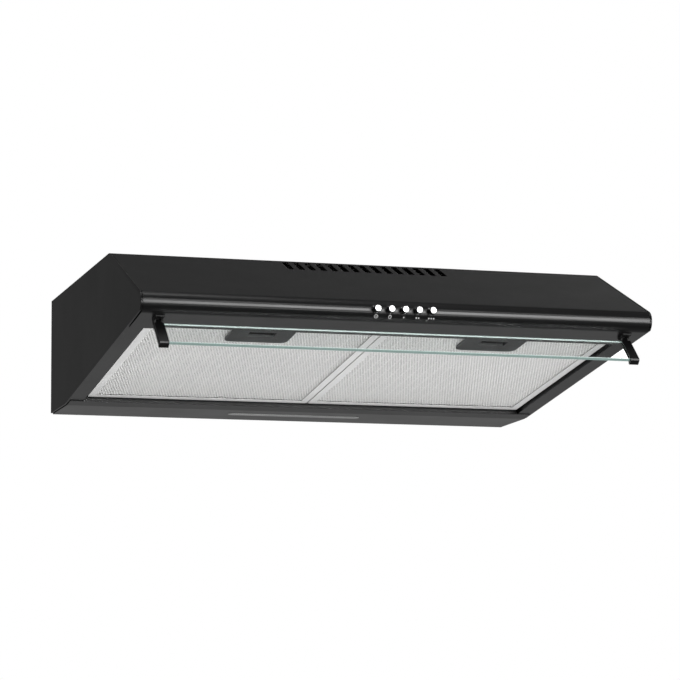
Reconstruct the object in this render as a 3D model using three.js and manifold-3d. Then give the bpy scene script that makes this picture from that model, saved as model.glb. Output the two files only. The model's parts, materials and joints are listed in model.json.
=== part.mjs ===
// An under-cabinet range hood, 600 mm wide: a bent-sheet body with a sloped front and a rounded nose,
// two aluminium grease filters, a tilting glass visor, five push buttons, a lamp in the rear strip,
// and a double-inlet blower that blows up through a round duct collar with two backdraft flaps.
//
// Millimetres. +X is the hood's right seen from the front, +Y points at the wall, +Z is up.
// Everything is modelled from the wall plane (y = 0) and the top face (z = 0), and the exported group
// moves it so that the origin is midway between the two rear cabinet fixing holes.
import * as THREE from "three";
import { mergeVertices } from "three/addons/utils/BufferGeometryUtils.js";
import Module from "manifold-3d";

// ---------------------------------------------------------------- driving dimensions

// Body envelope.
const WIDTH = 600;
const DEPTH = 500;
const HEIGHT = 143;
const FRONT_SLOPE = THREE.MathUtils.degToRad(24);
const NOSE_RADIUS = 13;
const NOSE_DROP = 81; // from the top face down to the nose's centre
const STRIP_DEPTH = 88; // the level strip along the wall, which carries the lamp

// Sheet metal.
const SHEET = 1;
const HEM = 2.2; // thickness of the folded edge of a side panel
const HEM_DEPTH = 6;
const SEAM = 0.5; // open joint between a side panel and the cross panels
const LAP = 0.3; // play between two lapped sheets
const LIP = 6.5; // height of the upturned lip round the filter opening
const TUCK = 14; // length of the flange tucked under the next panel

// Filter opening.
const BAND = 20; // the sloping band of the lamp panel between the strip and the opening
const RETURN_LENGTH = 69; // from the nose's foremost line back to the opening
const SIDE_FLANGE = 19;
const FLANGE_LAP = 12; // how far a side flange runs past each end of the opening

// Cabinet fixing holes in the top face, and wall keyholes.
const FIXING_INSET = 30; // rear pair, from the wall
const FIXING_PITCH_X = 500;
const FIXING_FRONT = 67; // front pair, from the top face's front edge
const FIXING_HOLE = 3; // radius
const KEYHOLE_PITCH = 440;
const KEYHOLE_DROP = 34;
const KEYHOLE_HEAD = 5;
const KEYHOLE_NECK = 2.5;
const KEYHOLE_RISE = 9;

// Vents and buttons in the front panel.
const VENT_COUNT = 15;
const VENT_PITCH = 13.3;
const VENT_WIDTH = 7.2;
const VENT_LENGTH = 36;
const VENT_CORNER = 0.6;
const VENT_OFFSET = 3.5; // from the top edge, along the slope
const BUTTON_COUNT = 5;
const BUTTON_PITCH = 16.2;
const BUTTON_RADIUS = 3.8;
const BUTTON_REACH = 9.5; // how far a button stands out of the nose
const BUTTON_TRAVEL = 3;
const BUTTON_GAP = 0.5; // radial play in the panel and in the switch
const BUTTON_EDGE = 0.7; // rounding of its face
const BUTTON_COLLAR = 1.6; // how far its collar stands out behind the panel

// Duct collar and its flaps.
const COLLAR_FROM_WALL = 115;
const COLLAR_RADIUS = 59.5; // takes a 120 mm duct over it
const COLLAR_WALL = 2;
const COLLAR_RISE = 24;
const COLLAR_FLANGE = 76; // radius of the ring that holds the collar under the top panel
const COLLAR_FLANGE_THICK = 2.5;
const COLLAR_HOLE_PLAY = 0.5;
const FLAP_THICK = 1.4;
const FLAP_PLAY = 0.9; // round the flap's edge
const FLAP_PIN_RADIUS = 1.5;
const PIN_PLAY = 0.1; // radial, on the flap pin and the visor pins
const FLAP_PIN_HEIGHT = 6; // above the top face
const FLAP_OFFSET = 3.2; // from the pin's axis to the flap's straight edge
const FLAP_STOP = 2.2; // how far the stop bead reaches into the bore
const FLAP_BEAD = 1.6; // height of the stop bead
const KNUCKLE_WALL = 1.3;
const KNUCKLE_LENGTH = 9;
const KNUCKLE_X = 40; // from the middle to each pair of knuckles

// Blower. The wheel has this radius, or less where the body is too low for it.
const LARGEST_WHEEL = 41;
const BLOWER_FROM_WALL = 100; // impeller axis
const IMPELLER_WIDTH = 64;
const BLADE_DEPTH = 8;
const BLADE_COUNT = 26;
const BLADE_THICK = 1.2;
const TONGUE_GAP = 4; // between the wheel and the spiral's start
const WHEEL_SIDE_GAP = 5; // between the wheel and each cheek
const SCROLL_GROWTH = 15;
const SCROLL_WALL = 2;
const INLET_STEP = 6; // inlet's edge inside the wheel's edge
const INLET_LIP = 5;
const TONGUE_ANGLE = THREE.MathUtils.degToRad(10);
const OUTLET_NECK = 6; // between the spiral's top and the flange
const BLOWER_FLANGE_THICK = 2.5;
const BLOWER_FLANGE_MARGIN = 2; // beyond the collar's own radius
const BLOWER_GAP = 6; // least gap over the filters
const MOTOR_GAP = 10; // between the motor and the blades
const MOTOR_LENGTH = 34;
const SHAFT_RADIUS = 4;
const HUB_RADIUS = 9;
const RUNNING_GAP = 0.5;

// Filters.
const FILTER_MARGIN = 4; // to the lips at the front and sides
const FILTER_REAR_GAP = 5;
const FILTER_GAP = 1.5; // between the two filters
const FILTER_RECESS = 5; // above the underside
const FILTER_THICK = 9;
const FILTER_BORDER = 9;
const FILTER_WALL = 0.8; // of the folded border
const MESH_THICK = 0.8;
const CORE_THICK = 0.5;
const CORE_FOLD = 6; // half the pitch of the folded core
const TAB_WIDTH = 12;
const TAB_LENGTH = 9;
const TAB_INSET = 14;
const TAB_PLAY = 0.5; // over the rear lip
const HANDLE_WIDTH = 74;
const HANDLE_LENGTH = 52;
const HANDLE_CORNER = 9;
const HANDLE_FRONT = 0.5; // from the filter's front edge
const HANDLE_PROUD = 2;
const HANDLE_BODY = 1.6; // plate thickness inside the filter's face
const HANDLE_RIM = 3; // width of the wall round the latch
const POCKET_WIDTH = 32;
const POCKET_LENGTH = 16;
const POCKET_FRONT = 12; // from the handle's front edge
const LATCH_TRAVEL = 4;
const LATCH_THICK = 1.6;
const LATCH_DEPTH = 3.4; // of its plate above the filter's face
const LATCH_TONGUE = 16;
const LATCH_SHORT = 1.2; // how far the tongue stops short of the front lip
const LATCH_MARGIN = 4; // width of the latch beyond the pocket, each side
const LATCH_NOSE = 3; // from the handle's front edge to the latch's plate
const FINGER_REACH = 1.5; // the fingertip wall's lower edge, above the handle's face

// Visor.
const VISOR_ANGLE = THREE.MathUtils.degToRad(44); // below the horizontal
const VISOR_SETBACK = 26; // pivot, from the nose's foremost line
const VISOR_DROP = 5.2; // pivot below the underside
const ARM_X = 275;
const ARM_WIDTH = 10.5;
const ARM_THICK = 7;
const ARM_LENGTH = 40;
const ARM_HOOK = 2.4; // thickness of the wall in front of the glass
const ARM_EYE = 2.8;
const GLASS_WIDTH = 35;
const GLASS_THICK = 4;
const GLASS_CORNER = 3;
const GLASS_BITE = 3; // how far the glass enters each arm
const GLASS_PLAY = 0.3;
const VISOR_PIN_RADIUS = 1.6;
const EAR_THICK = 2;
const BRACKET_LENGTH = 18;
const BRACKET_BASE = 1.8;
const BRACKET_REAR = 6; // the base behind the pin
const EAR_HALF = 3.4; // half the ear's length
const EAR_FOOT = 1.8; // half the flat at its lower end
const ARM_NECK = { start: -4.2, end: -1, half: 2.6 }; // between the eye and the bar
const ARM_LIP = 1.4; // how far the hooked end drops below the bar

// Lamp.
const LENS_LENGTH = 172;
const LENS_WIDTH = 13;
const LENS_FROM_WALL = 54;
const LENS_PROUD = 0.8;
const LENS_FLANGE = 3;
const LAMP_TRAY = { wall: 4, height: 14, top: 1.5 };
const LAMP_BOARD = { height: 10, thick: 1.6, half: 7, chips: 9, pitch: 18, chip: 2.5 };

const SEGMENTS = 32;
const NOSE_SEGMENTS = 14;

// ---------------------------------------------------------------- solids

const wasm = await Module();
wasm.setup();

/** Turns a closed three.js geometry into a manifold solid. */
function solid(geometry) {
  const bare = geometry.clone();
  bare.deleteAttribute("normal");
  bare.deleteAttribute("uv");
  const merged = mergeVertices(bare, 1e-4);
  return new wasm.Manifold(
    new wasm.Mesh({
      numProp: 3,
      vertProperties: merged.attributes.position.array,
      triVerts: new Uint32Array(merged.index.array),
    }),
  );
}

/** Turns a manifold solid back into a geometry that a mesh can show. */
function geometryOf(shape) {
  const { vertProperties, triVerts, numProp } = shape.getMesh();
  const positions = new Float32Array((vertProperties.length / numProp) * 3);
  for (let i = 0; i < positions.length / 3; i += 1) {
    positions.set(vertProperties.subarray(i * numProp, i * numProp + 3), i * 3);
  }
  const geometry = new THREE.BufferGeometry()
    .setAttribute("position", new THREE.BufferAttribute(positions, 3))
    .setIndex(new THREE.BufferAttribute(triVerts, 1))
    .toNonIndexed();
  geometry.computeVertexNormals();
  return geometry;
}

/** Joins several solids. */
function join(...shapes) {
  return shapes.reduce((all, shape) => all.add(shape));
}

/** Cuts several solids from one. */
function cut(shape, ...tools) {
  return tools.reduce((left, tool) => left.subtract(tool), shape);
}

/** A box between two corners. */
function box([x0, y0, z0], [x1, y1, z1]) {
  const geometry = new THREE.BoxGeometry(x1 - x0, y1 - y0, z1 - z0);
  geometry.translate((x0 + x1) / 2, (y0 + y1) / 2, (z0 + z1) / 2);
  return solid(geometry);
}

/** A cylinder between two points. */
function rod(radius, from, to, segments = SEGMENTS) {
  const start = new THREE.Vector3(...from);
  const run = new THREE.Vector3(...to).sub(start);
  const geometry = new THREE.CylinderGeometry(radius, radius, run.length(), segments);
  const turn = new THREE.Quaternion().setFromUnitVectors(
    new THREE.Vector3(0, 1, 0),
    run.clone().normalize(),
  );
  geometry.applyQuaternion(turn);
  const middle = start.addScaledVector(run, 0.5);
  geometry.translate(middle.x, middle.y, middle.z);
  return solid(geometry);
}

/** Extrudes an outline of [y, z] points along X. */
function extrudeX(outline, x0, x1) {
  const shape = new THREE.Shape(outline.map(([y, z]) => new THREE.Vector2(y, z)));
  const geometry = new THREE.ExtrudeGeometry(shape, { depth: x1 - x0, bevelEnabled: false });
  const basis = new THREE.Matrix4().makeBasis(
    new THREE.Vector3(0, 1, 0),
    new THREE.Vector3(0, 0, 1),
    new THREE.Vector3(1, 0, 0),
  );
  geometry.applyMatrix4(basis);
  geometry.translate(x0, 0, 0);
  return solid(geometry);
}

/** Extrudes a THREE.Shape in the XY plane from z0 to z1. */
function extrudeZ(shape, z0, z1, curveSegments = 6) {
  const options = { depth: z1 - z0, bevelEnabled: false, curveSegments };
  const geometry = new THREE.ExtrudeGeometry(shape, options);
  geometry.translate(0, 0, z0);
  return solid(geometry);
}

/** A rectangle in XY; its corner radii run rear-right, rear-left, front-left, front-right. */
function roundedRectangle(x0, y0, x1, y1, radii) {
  const [a, b, c, d] = radii;
  const shape = new THREE.Shape();
  shape.moveTo(x1, y1 - a);
  shape.absarc(x1 - a, y1 - a, a, 0, Math.PI / 2, false);
  shape.absarc(x0 + b, y1 - b, b, Math.PI / 2, Math.PI, false);
  shape.absarc(x0 + c, y0 + c, c, Math.PI, 1.5 * Math.PI, false);
  shape.absarc(x1 - d, y0 + d, d, 1.5 * Math.PI, 2 * Math.PI, false);
  return shape;
}

/** The outline of a bent sheet: the outer line, then the same line moved by the thickness to its left. */
function sheetOutline(line, thickness = SHEET) {
  const points = line.map(([y, z]) => new THREE.Vector2(y, z));
  const inner = points.map((point, i) => {
    const before = points[Math.max(i - 1, 0)];
    const after = points[Math.min(i + 1, points.length - 1)];
    const first = (i === 0 ? after.clone().sub(point) : point.clone().sub(before)).normalize();
    const last = (i === points.length - 1 ? first.clone() : after.clone().sub(point)).normalize();
    const normalFirst = new THREE.Vector2(-first.y, first.x);
    const normalLast = new THREE.Vector2(-last.y, last.x);
    const mitre = normalFirst.clone().add(normalLast).normalize();
    return point.clone().addScaledVector(mitre, thickness / mitre.dot(normalFirst));
  });
  return [...points, ...inner.reverse()].map(({ x, y }) => [x, y]);
}

/** Points on an arc about [y, z], from one angle to another, the angle measured from +Y towards +Z. */
function arc([y, z], radius, from, to, steps) {
  return Array.from({ length: steps + 1 }, (_, i) => {
    const angle = from + ((to - from) * i) / steps;
    return [y + radius * Math.cos(angle), z + radius * Math.sin(angle)];
  });
}

// ---------------------------------------------------------------- places that several pieces share

const half = WIDTH / 2;
const crossHalf = half - HEM - SEAM; // half length of the panels between the sides
const openingHalf = half - SIDE_FLANGE;
const sideStep = SHEET + LAP; // the side flanges lie this far above the lapped panels

const noseCentre = [-(DEPTH - NOSE_RADIUS), -NOSE_DROP];
const slopeTangent = [
  noseCentre[0] - NOSE_RADIUS * Math.sin(FRONT_SLOPE),
  noseCentre[1] + NOSE_RADIUS * Math.cos(FRONT_SLOPE),
];
const slopeY = (z) => slopeTangent[0] + (z - slopeTangent[1]) / Math.tan(FRONT_SLOPE);
const topFront = slopeY(0);

// The underside is the plane from the strip's front edge that just touches the nose.
const rise = noseCentre[1] + HEIGHT;
const run = -STRIP_DEPTH - noseCentre[0];
const UNDERSIDE = Math.atan2(rise, run) - Math.asin(NOSE_RADIUS / Math.hypot(rise, run));
const undersideZ = (y) => -HEIGHT + (-STRIP_DEPTH - y) * Math.tan(UNDERSIDE);
const openingRear = STRIP_DEPTH + BAND;
const alongSlope = (fromWall) => (fromWall - openingRear) / Math.cos(UNDERSIDE);
const openingFront = DEPTH - RETURN_LENGTH;
const openingLength = alongSlope(openingFront);
const slopeOrigin = [0, -openingRear, undersideZ(-openingRear)];

const noseEnd = -Math.PI / 2 - UNDERSIDE; // the arc's angle where the underside starts
const noseStart = Math.PI / 2 + FRONT_SLOPE;
const noseArc = arc(noseCentre, NOSE_RADIUS, noseStart, noseEnd + 2 * Math.PI, NOSE_SEGMENTS);

const buttonX = (i) => (i - (BUTTON_COUNT - 1) / 2) * BUTTON_PITCH;
const fixingPoints = [-1, 1].flatMap((x) =>
  [-FIXING_INSET, topFront + FIXING_FRONT].map((y) => [(x * FIXING_PITCH_X) / 2, y]),
);
const collarScrewCircle = (COLLAR_RADIUS + COLLAR_FLANGE) / 2;
const collarScrews = [35, 145, 215, 325].map((degrees) => {
  const angle = THREE.MathUtils.degToRad(degrees);
  return [
    collarScrewCircle * Math.cos(angle),
    -COLLAR_FROM_WALL + collarScrewCircle * Math.sin(angle),
  ];
});
const collarTop = -SHEET - LAP; // the collar's ring hangs under the top panel
const blowerTop = collarTop - COLLAR_FLANGE_THICK - LAP;

// The blower fills the height between its flange and the rear end of the filters.
const filterTop = FILTER_RECESS + FILTER_THICK;
const blowerCeiling = blowerTop - BLOWER_FLANGE_THICK - OUTLET_NECK;
const blowerFloor = slopeOrigin[2] + filterTop / Math.cos(UNDERSIDE) + BLOWER_GAP;
const spiralShare = (angle) => (angle + TONGUE_ANGLE) / (1.5 * Math.PI + TONGUE_ANGLE);
const growthBelow = SCROLL_GROWTH * spiralShare(Math.PI);
const spareRoom = blowerCeiling - blowerFloor - 2 * (TONGUE_GAP + SCROLL_WALL) - growthBelow;
const wheelRadius = Math.min(LARGEST_WHEEL, spareRoom / 2);
const wheelInner = wheelRadius - BLADE_DEPTH;
const inletRadius = wheelRadius - INLET_STEP;
const motorRadius = wheelInner - MOTOR_GAP;
const scrollStart = wheelRadius + TONGUE_GAP;
const scrollInside = IMPELLER_WIDTH / 2 + WHEEL_SIDE_GAP; // from the middle to a cheek
const inletEnd = scrollInside + SCROLL_WALL + INLET_LIP;
const blowerAxis = [-BLOWER_FROM_WALL, blowerCeiling - scrollStart - SCROLL_WALL];

// ---------------------------------------------------------------- materials and nodes

const paint = (color, roughness, metalness) =>
  new THREE.MeshStandardMaterial({ color, roughness, metalness });
const materials = {
  blackPaint: paint(0x1c1c1d, 0.45, 0.1),
  zinc: paint(0x9aa0a5, 0.45, 0.9),
  aluminium: paint(0xc9cacb, 0.38, 1),
  greyPlastic: paint(0x4c4d4f, 0.5, 0),
  blackPlastic: paint(0x0a0a0b, 0.4, 0),
  chrome: paint(0xeeeeee, 0.12, 1),
  glass: new THREE.MeshStandardMaterial({
    color: 0xcfe6df,
    roughness: 0.05,
    transparent: true,
    opacity: 0.35,
  }),
  lens: paint(0xf4f5f2, 0.4, 0),
  whitePlastic: paint(0xdcdcd8, 0.5, 0),
  board: paint(0xf0f0ea, 0.6, 0),
};

const hood = new THREE.Group();
hood.position.y = FIXING_INSET;

/** A group whose -Y runs up the underside towards the nose and whose +Z leaves it upwards. */
const underside = new THREE.Group();
underside.position.set(...slopeOrigin);
underside.rotation.x = -UNDERSIDE;
hood.add(underside);

/** Adds a named piece to a group. */
function piece(name, shape, material, parent = hood) {
  const mesh = new THREE.Mesh(geometryOf(shape), material);
  mesh.name = name;
  parent.add(mesh);
  return mesh;
}

/** Moves a solid made in the underside's frame into the wall's frame. */
function fromUnderside(shape) {
  const degrees = THREE.MathUtils.radToDeg(-UNDERSIDE);
  return shape.rotate([degrees, 0, 0]).translate(slopeOrigin);
}

// ---------------------------------------------------------------- body panels

/** The keyhole for a wall screw, cut through the rear wall. */
function keyhole(x) {
  const z = -KEYHOLE_DROP;
  return join(
    rod(KEYHOLE_HEAD, [x, -2 * SHEET, z], [x, SHEET, z], 20),
    rod(KEYHOLE_NECK, [x, -2 * SHEET, z + KEYHOLE_RISE], [x, SHEET, z + KEYHOLE_RISE], 12),
    box([x - KEYHOLE_NECK, -2 * SHEET, z], [x + KEYHOLE_NECK, SHEET, z + KEYHOLE_RISE]),
  );
}

const GROMMET = { x: -150, fromWall: 24, radius: 8, bore: 4, flange: 10 };

function topRearPanel() {
  const outline = sheetOutline([
    [0, -HEIGHT],
    [0, 0],
    [topFront, 0],
  ]);
  outline[3] = [slopeY(-SHEET), -SHEET]; // the front edge is cut along the slope
  const collarHole = COLLAR_RADIUS + COLLAR_HOLE_PLAY;
  const through = (radius, x, y, segments) =>
    rod(radius, [x, y, -2 * SHEET], [x, y, SHEET], segments);
  return cut(
    extrudeX(outline, -crossHalf, crossHalf),
    through(collarHole, 0, -COLLAR_FROM_WALL, 48),
    through(GROMMET.radius, GROMMET.x, -GROMMET.fromWall, 20),
    ...fixingPoints.map(([x, y]) => through(FIXING_HOLE, x, y, 16)),
    keyhole(-KEYHOLE_PITCH / 2),
    keyhole(KEYHOLE_PITCH / 2),
  );
}

/** The side's outline, drawn smaller by an inset so that the hem's inner edge can use it too. */
function sideOutline(inset) {
  const slopeShift = inset / Math.sin(FRONT_SLOPE);
  const radius = NOSE_RADIUS - inset;
  const lift = (sideStep + inset) / Math.cos(UNDERSIDE);
  const flatZ = -HEIGHT + sideStep + inset;
  const flatFront = -STRIP_DEPTH - (flatZ + HEIGHT - lift) / Math.tan(UNDERSIDE);
  // The nose's arc is left where the raised underside line crosses it.
  const crossing = -Math.PI / 2 - UNDERSIDE - Math.acos((NOSE_RADIUS - sideStep - inset) / radius);
  return [
    [-inset, -inset],
    [topFront + slopeShift - inset / Math.tan(FRONT_SLOPE), -inset],
    ...arc(noseCentre, radius, noseStart, crossing + 2 * Math.PI, NOSE_SEGMENTS),
    [flatFront, flatZ],
    [-inset, flatZ],
  ];
}

/** A side panel: a flat plate, a folded hem round it, and a flange with a lip under the filters' side. */
function sidePanel(side) {
  const x = (distance) => side * (half - distance);
  const span = (from, to) => [Math.min(x(from), x(to)), Math.max(x(from), x(to))];
  const plate = extrudeX(sideOutline(0), ...span(0, SHEET));
  const hem = cut(
    extrudeX(sideOutline(0), ...span(0, HEM)),
    extrudeX(sideOutline(HEM_DEPTH), ...span(-1, HEM + 1)),
  );
  const [outer, inner] = span(0, SIDE_FLANGE);
  const flange = box(
    [outer, -openingLength - FLANGE_LAP, sideStep],
    [inner, FLANGE_LAP, sideStep + SHEET],
  );
  const [lipFrom, lipTo] = span(SIDE_FLANGE - SHEET, SIDE_FLANGE);
  const lip = box([lipFrom, -openingLength + SHEET, sideStep], [lipTo, -SHEET, LIP]);
  const flanged = fromUnderside(join(flange, lip));
  return join(plate, hem, flanged);
}

/** Front panel: tucked top flange, slope with vents, nose with button holes, and underside return. */
function frontPanel() {
  const tuckZ = -SHEET - LAP;
  const returnEnd = [-openingFront, undersideZ(-openingFront)];
  const line = [[topFront + TUCK, tuckZ], [slopeY(tuckZ), tuckZ], ...noseArc, returnEnd];
  const skin = extrudeX(sheetOutline(line), -crossHalf, crossHalf);
  const lipHalf = openingHalf - SHEET;
  const lip = fromUnderside(
    box([-lipHalf, -openingLength - SHEET, 0], [lipHalf, -openingLength, LIP]),
  );
  const slot = roundedRectangle(
    -VENT_WIDTH / 2,
    -VENT_OFFSET - VENT_LENGTH,
    VENT_WIDTH / 2,
    -VENT_OFFSET,
    [VENT_CORNER, VENT_CORNER, VENT_CORNER, VENT_CORNER],
  );
  const vents = Array.from({ length: VENT_COUNT }, (_, i) =>
    extrudeZ(slot, -4 * SHEET, 4 * SHEET, 2)
      .rotate([THREE.MathUtils.radToDeg(FRONT_SLOPE), 0, 0])
      .translate([(i - (VENT_COUNT - 1) / 2) * VENT_PITCH, topFront, 0]),
  );
  const holes = Array.from({ length: BUTTON_COUNT }, (_, i) =>
    rod(
      BUTTON_RADIUS + BUTTON_GAP,
      [buttonX(i), -DEPTH - 2, -NOSE_DROP],
      [buttonX(i), -DEPTH + 6, -NOSE_DROP],
      20,
    ),
  );
  return cut(join(skin, lip), ...vents, ...holes);
}

/** Lamp panel: lip at the opening, sloped band, level strip with the lamp slot, and a wall flange. */
function lampPanel() {
  const rearInside = -SHEET - LAP;
  const line = [
    [rearInside, -HEIGHT + TUCK],
    [rearInside, -HEIGHT],
    [-STRIP_DEPTH, -HEIGHT],
    [-openingRear, undersideZ(-openingRear)],
  ];
  const skin = extrudeX(sheetOutline(line.reverse()), -crossHalf, crossHalf);
  const lipHalf = openingHalf - SHEET;
  const lip = fromUnderside(box([-lipHalf, 0, 0], [lipHalf, SHEET, LIP]));
  return cut(join(skin, lip), lampSlot(0, -HEIGHT - 1, -HEIGHT + 2 * SHEET));
}

/** The stadium that the lamp's lens fills, made smaller or larger all round by an offset. */
function lampSlot(offset, z0, z1) {
  const x = LENS_LENGTH / 2 + offset;
  const y = LENS_WIDTH / 2 + offset;
  const outline = roundedRectangle(-x, -LENS_FROM_WALL - y, x, -LENS_FROM_WALL + y, [y, y, y, y]);
  return extrudeZ(outline, z0, z1, 8);
}

// ---------------------------------------------------------------- duct collar and flaps

/** A tube about the vertical line through the collar's centre. */
function collarTube(outer, inner, z0, z1, segments = 48) {
  const y = -COLLAR_FROM_WALL;
  return cut(
    rod(outer, [0, y, z0], [0, y, z1], segments),
    rod(inner, [0, y, z0 - 1], [0, y, z1 + 1], segments),
  );
}

function outletCollar() {
  const bore = COLLAR_RADIUS - COLLAR_WALL;
  const bottom = collarTop - COLLAR_FLANGE_THICK;
  const stopTop = FLAP_PIN_HEIGHT - FLAP_THICK / 2 - LAP;
  return cut(
    join(
      collarTube(COLLAR_RADIUS, bore, bottom, COLLAR_RISE),
      collarTube(bore + 0.2, bore - FLAP_STOP, stopTop - FLAP_BEAD, stopTop),
    ),
    rod(
      FLAP_PIN_RADIUS + PIN_PLAY,
      [-COLLAR_RADIUS - 1, -COLLAR_FROM_WALL, FLAP_PIN_HEIGHT],
      [COLLAR_RADIUS + 1, -COLLAR_FROM_WALL, FLAP_PIN_HEIGHT],
      16,
    ),
  );
}

/** The flat ring that the collar is set in, screwed up under the top panel together with the blower. */
function collarRing() {
  const bottom = collarTop - COLLAR_FLANGE_THICK;
  return cut(
    collarTube(COLLAR_FLANGE, COLLAR_RADIUS + LAP, bottom, collarTop),
    ...collarScrews.map(([x, y]) => rod(SCREW.clearance, [x, y, bottom - 1], [x, y, 0], 12)),
  );
}

/** A half-disc flap with two knuckles that turn on the pin. Direction -1 is the front one. */
function flap(direction) {
  const y = -COLLAR_FROM_WALL;
  const radius = COLLAR_RADIUS - COLLAR_WALL - FLAP_PLAY;
  const z = FLAP_PIN_HEIGHT;
  const disc = rod(radius, [0, y, z - FLAP_THICK / 2], [0, y, z + FLAP_THICK / 2], 48);
  const farSide = direction * radius * 2;
  const near = y + direction * FLAP_OFFSET;
  const keep = box(
    [-radius - 1, Math.min(near, y + farSide), z - 5],
    [radius + 1, Math.max(near, y + farSide), z + 5],
  );
  const knuckle = FLAP_PIN_RADIUS + KNUCKLE_WALL;
  const knuckles = [-1, 1].map((side) => {
    const middle = side * KNUCKLE_X + direction * (KNUCKLE_LENGTH / 2 + RUNNING_GAP);
    const [x0, x1] = [middle - KNUCKLE_LENGTH / 2, middle + KNUCKLE_LENGTH / 2];
    const edges = [y, y + direction * (FLAP_OFFSET + 1)].sort((a, b) => a - b);
    const web = box([x0, edges[0], z - FLAP_THICK / 2], [x1, edges[1], z + FLAP_THICK / 2]);
    return join(rod(knuckle, [x0, y, z], [x1, y, z], 16), web);
  });
  const bore = rod(FLAP_PIN_RADIUS + PIN_PLAY, [-radius, y, z], [radius, y, z], 16);
  return cut(join(disc.intersect(keep), ...knuckles), bore);
}

function flapPin() {
  const reach = COLLAR_RADIUS - 0.4;
  const y = -COLLAR_FROM_WALL;
  return rod(FLAP_PIN_RADIUS, [-reach, y, FLAP_PIN_HEIGHT], [reach, y, FLAP_PIN_HEIGHT], 16);
}

// ---------------------------------------------------------------- blower

/** The scroll's outline in [y, z]: front wall, spiral under the impeller, tongue, and rear wall. */
function scrollOutline(wall, top) {
  const end = 1.5 * Math.PI;
  const steps = 30;
  const spiral = Array.from({ length: steps + 1 }, (_, i) => {
    const angle = end - ((end + TONGUE_ANGLE) * i) / steps;
    const radius = scrollStart + SCROLL_GROWTH * spiralShare(angle) + wall;
    return [blowerAxis[0] + radius * Math.sin(angle), blowerAxis[1] + radius * Math.cos(angle)];
  });
  const [tongueY] = spiral[spiral.length - 1];
  const [frontY] = spiral[0];
  // The rear wall of the outlet leans back from the tongue by the wall's own thickness.
  return [[frontY, top], ...spiral, [tongueY + 2 * wall, top]];
}

/** One half of the blower's housing: half the scroll wall, a cheek with an inlet, half the flange. */
function blowerHousing(side) {
  const parting = LAP / 2;
  const span = (from, to) => [Math.min(side * from, side * to), Math.max(side * from, side * to)];
  const inside = scrollInside;
  const outside = inside + SCROLL_WALL;
  const [ax, az] = blowerAxis;
  const shell = cut(
    extrudeX(scrollOutline(SCROLL_WALL, blowerTop), ...span(parting, outside)),
    extrudeX(scrollOutline(0, blowerTop + 1), ...span(0, inside)),
  );
  const flangeReach = COLLAR_RADIUS + BLOWER_FLANGE_MARGIN;
  const [flangeFrom, flangeTo] = span(parting, flangeReach);
  const flange = cut(
    box(
      [flangeFrom, -COLLAR_FROM_WALL - flangeReach, blowerTop - BLOWER_FLANGE_THICK],
      [flangeTo, -COLLAR_FROM_WALL + flangeReach, blowerTop],
    ),
    extrudeX(scrollOutline(0, blowerTop + 1), ...span(0, inside)),
  );
  const along = (radius, from, to) => rod(radius, [side * from, ax, az], [side * to, ax, az]);
  const bellmouth = along(inletRadius + SCROLL_WALL, inside, inletEnd);
  const inlet = along(inletRadius, inside - 1, inletEnd + 1);
  const screwHoles = collarScrews
    .filter(([x]) => x * side > 0)
    .map(([x, y]) => rod(SCREW.clearance, [x, y, blowerTop - 9], [x, y, blowerTop + 1], 12));
  return cut(join(shell, flange, bellmouth), inlet, ...screwHoles);
}

const SPIDER = { thick: 2.5, arm: 8, rim: 4, bossStep: 3 };

/** Three arms in the right inlet, which carry the motor. */
function motorBracket() {
  const [y, z] = blowerAxis;
  const x0 = inletEnd + LAP;
  const x1 = x0 + SPIDER.thick;
  const outer = inletRadius + SCROLL_WALL;
  const ring = cut(
    rod(outer, [x0, y, z], [x1, y, z]),
    rod(outer - SPIDER.rim, [x0 - 1, y, z], [x1 + 1, y, z]),
  );
  const arms = [90, 210, 330].map((degrees) =>
    box([x0, -SPIDER.arm / 2, 0], [x1, SPIDER.arm / 2, outer - 2])
      .rotate([degrees, 0, 0])
      .translate([0, y, z]),
  );
  const boss = rod(motorRadius - SPIDER.bossStep, [x0, y, z], [x1, y, z]);
  const bore = rod(SHAFT_RADIUS + 2, [x0 - 1, y, z], [x1 + 1, y, z], 16);
  return cut(join(ring, boss, ...arms), bore);
}

/** The motor's can, with a bearing boss at its shaft end. */
function motorCan() {
  const [y, z] = blowerAxis;
  const x1 = inletEnd;
  const x0 = x1 - MOTOR_LENGTH;
  return cut(
    join(
      rod(motorRadius, [x0, y, z], [x1, y, z]),
      rod(HUB_RADIUS, [x0 - 4, y, z], [x0 + 1, y, z], 20),
    ),
    rod(SHAFT_RADIUS + RUNNING_GAP, [x0 - 5, y, z], [x1 + 1, y, z], 16),
  );
}

/** The shaft, which runs from behind the motor to the impeller's hub. */
function motorShaft() {
  const [y, z] = blowerAxis;
  const x1 = inletEnd + LAP + SPIDER.thick + 2;
  return rod(SHAFT_RADIUS, [-IMPELLER_WIDTH / 4, y, z], [x1, y, z], 16);
}

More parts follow.
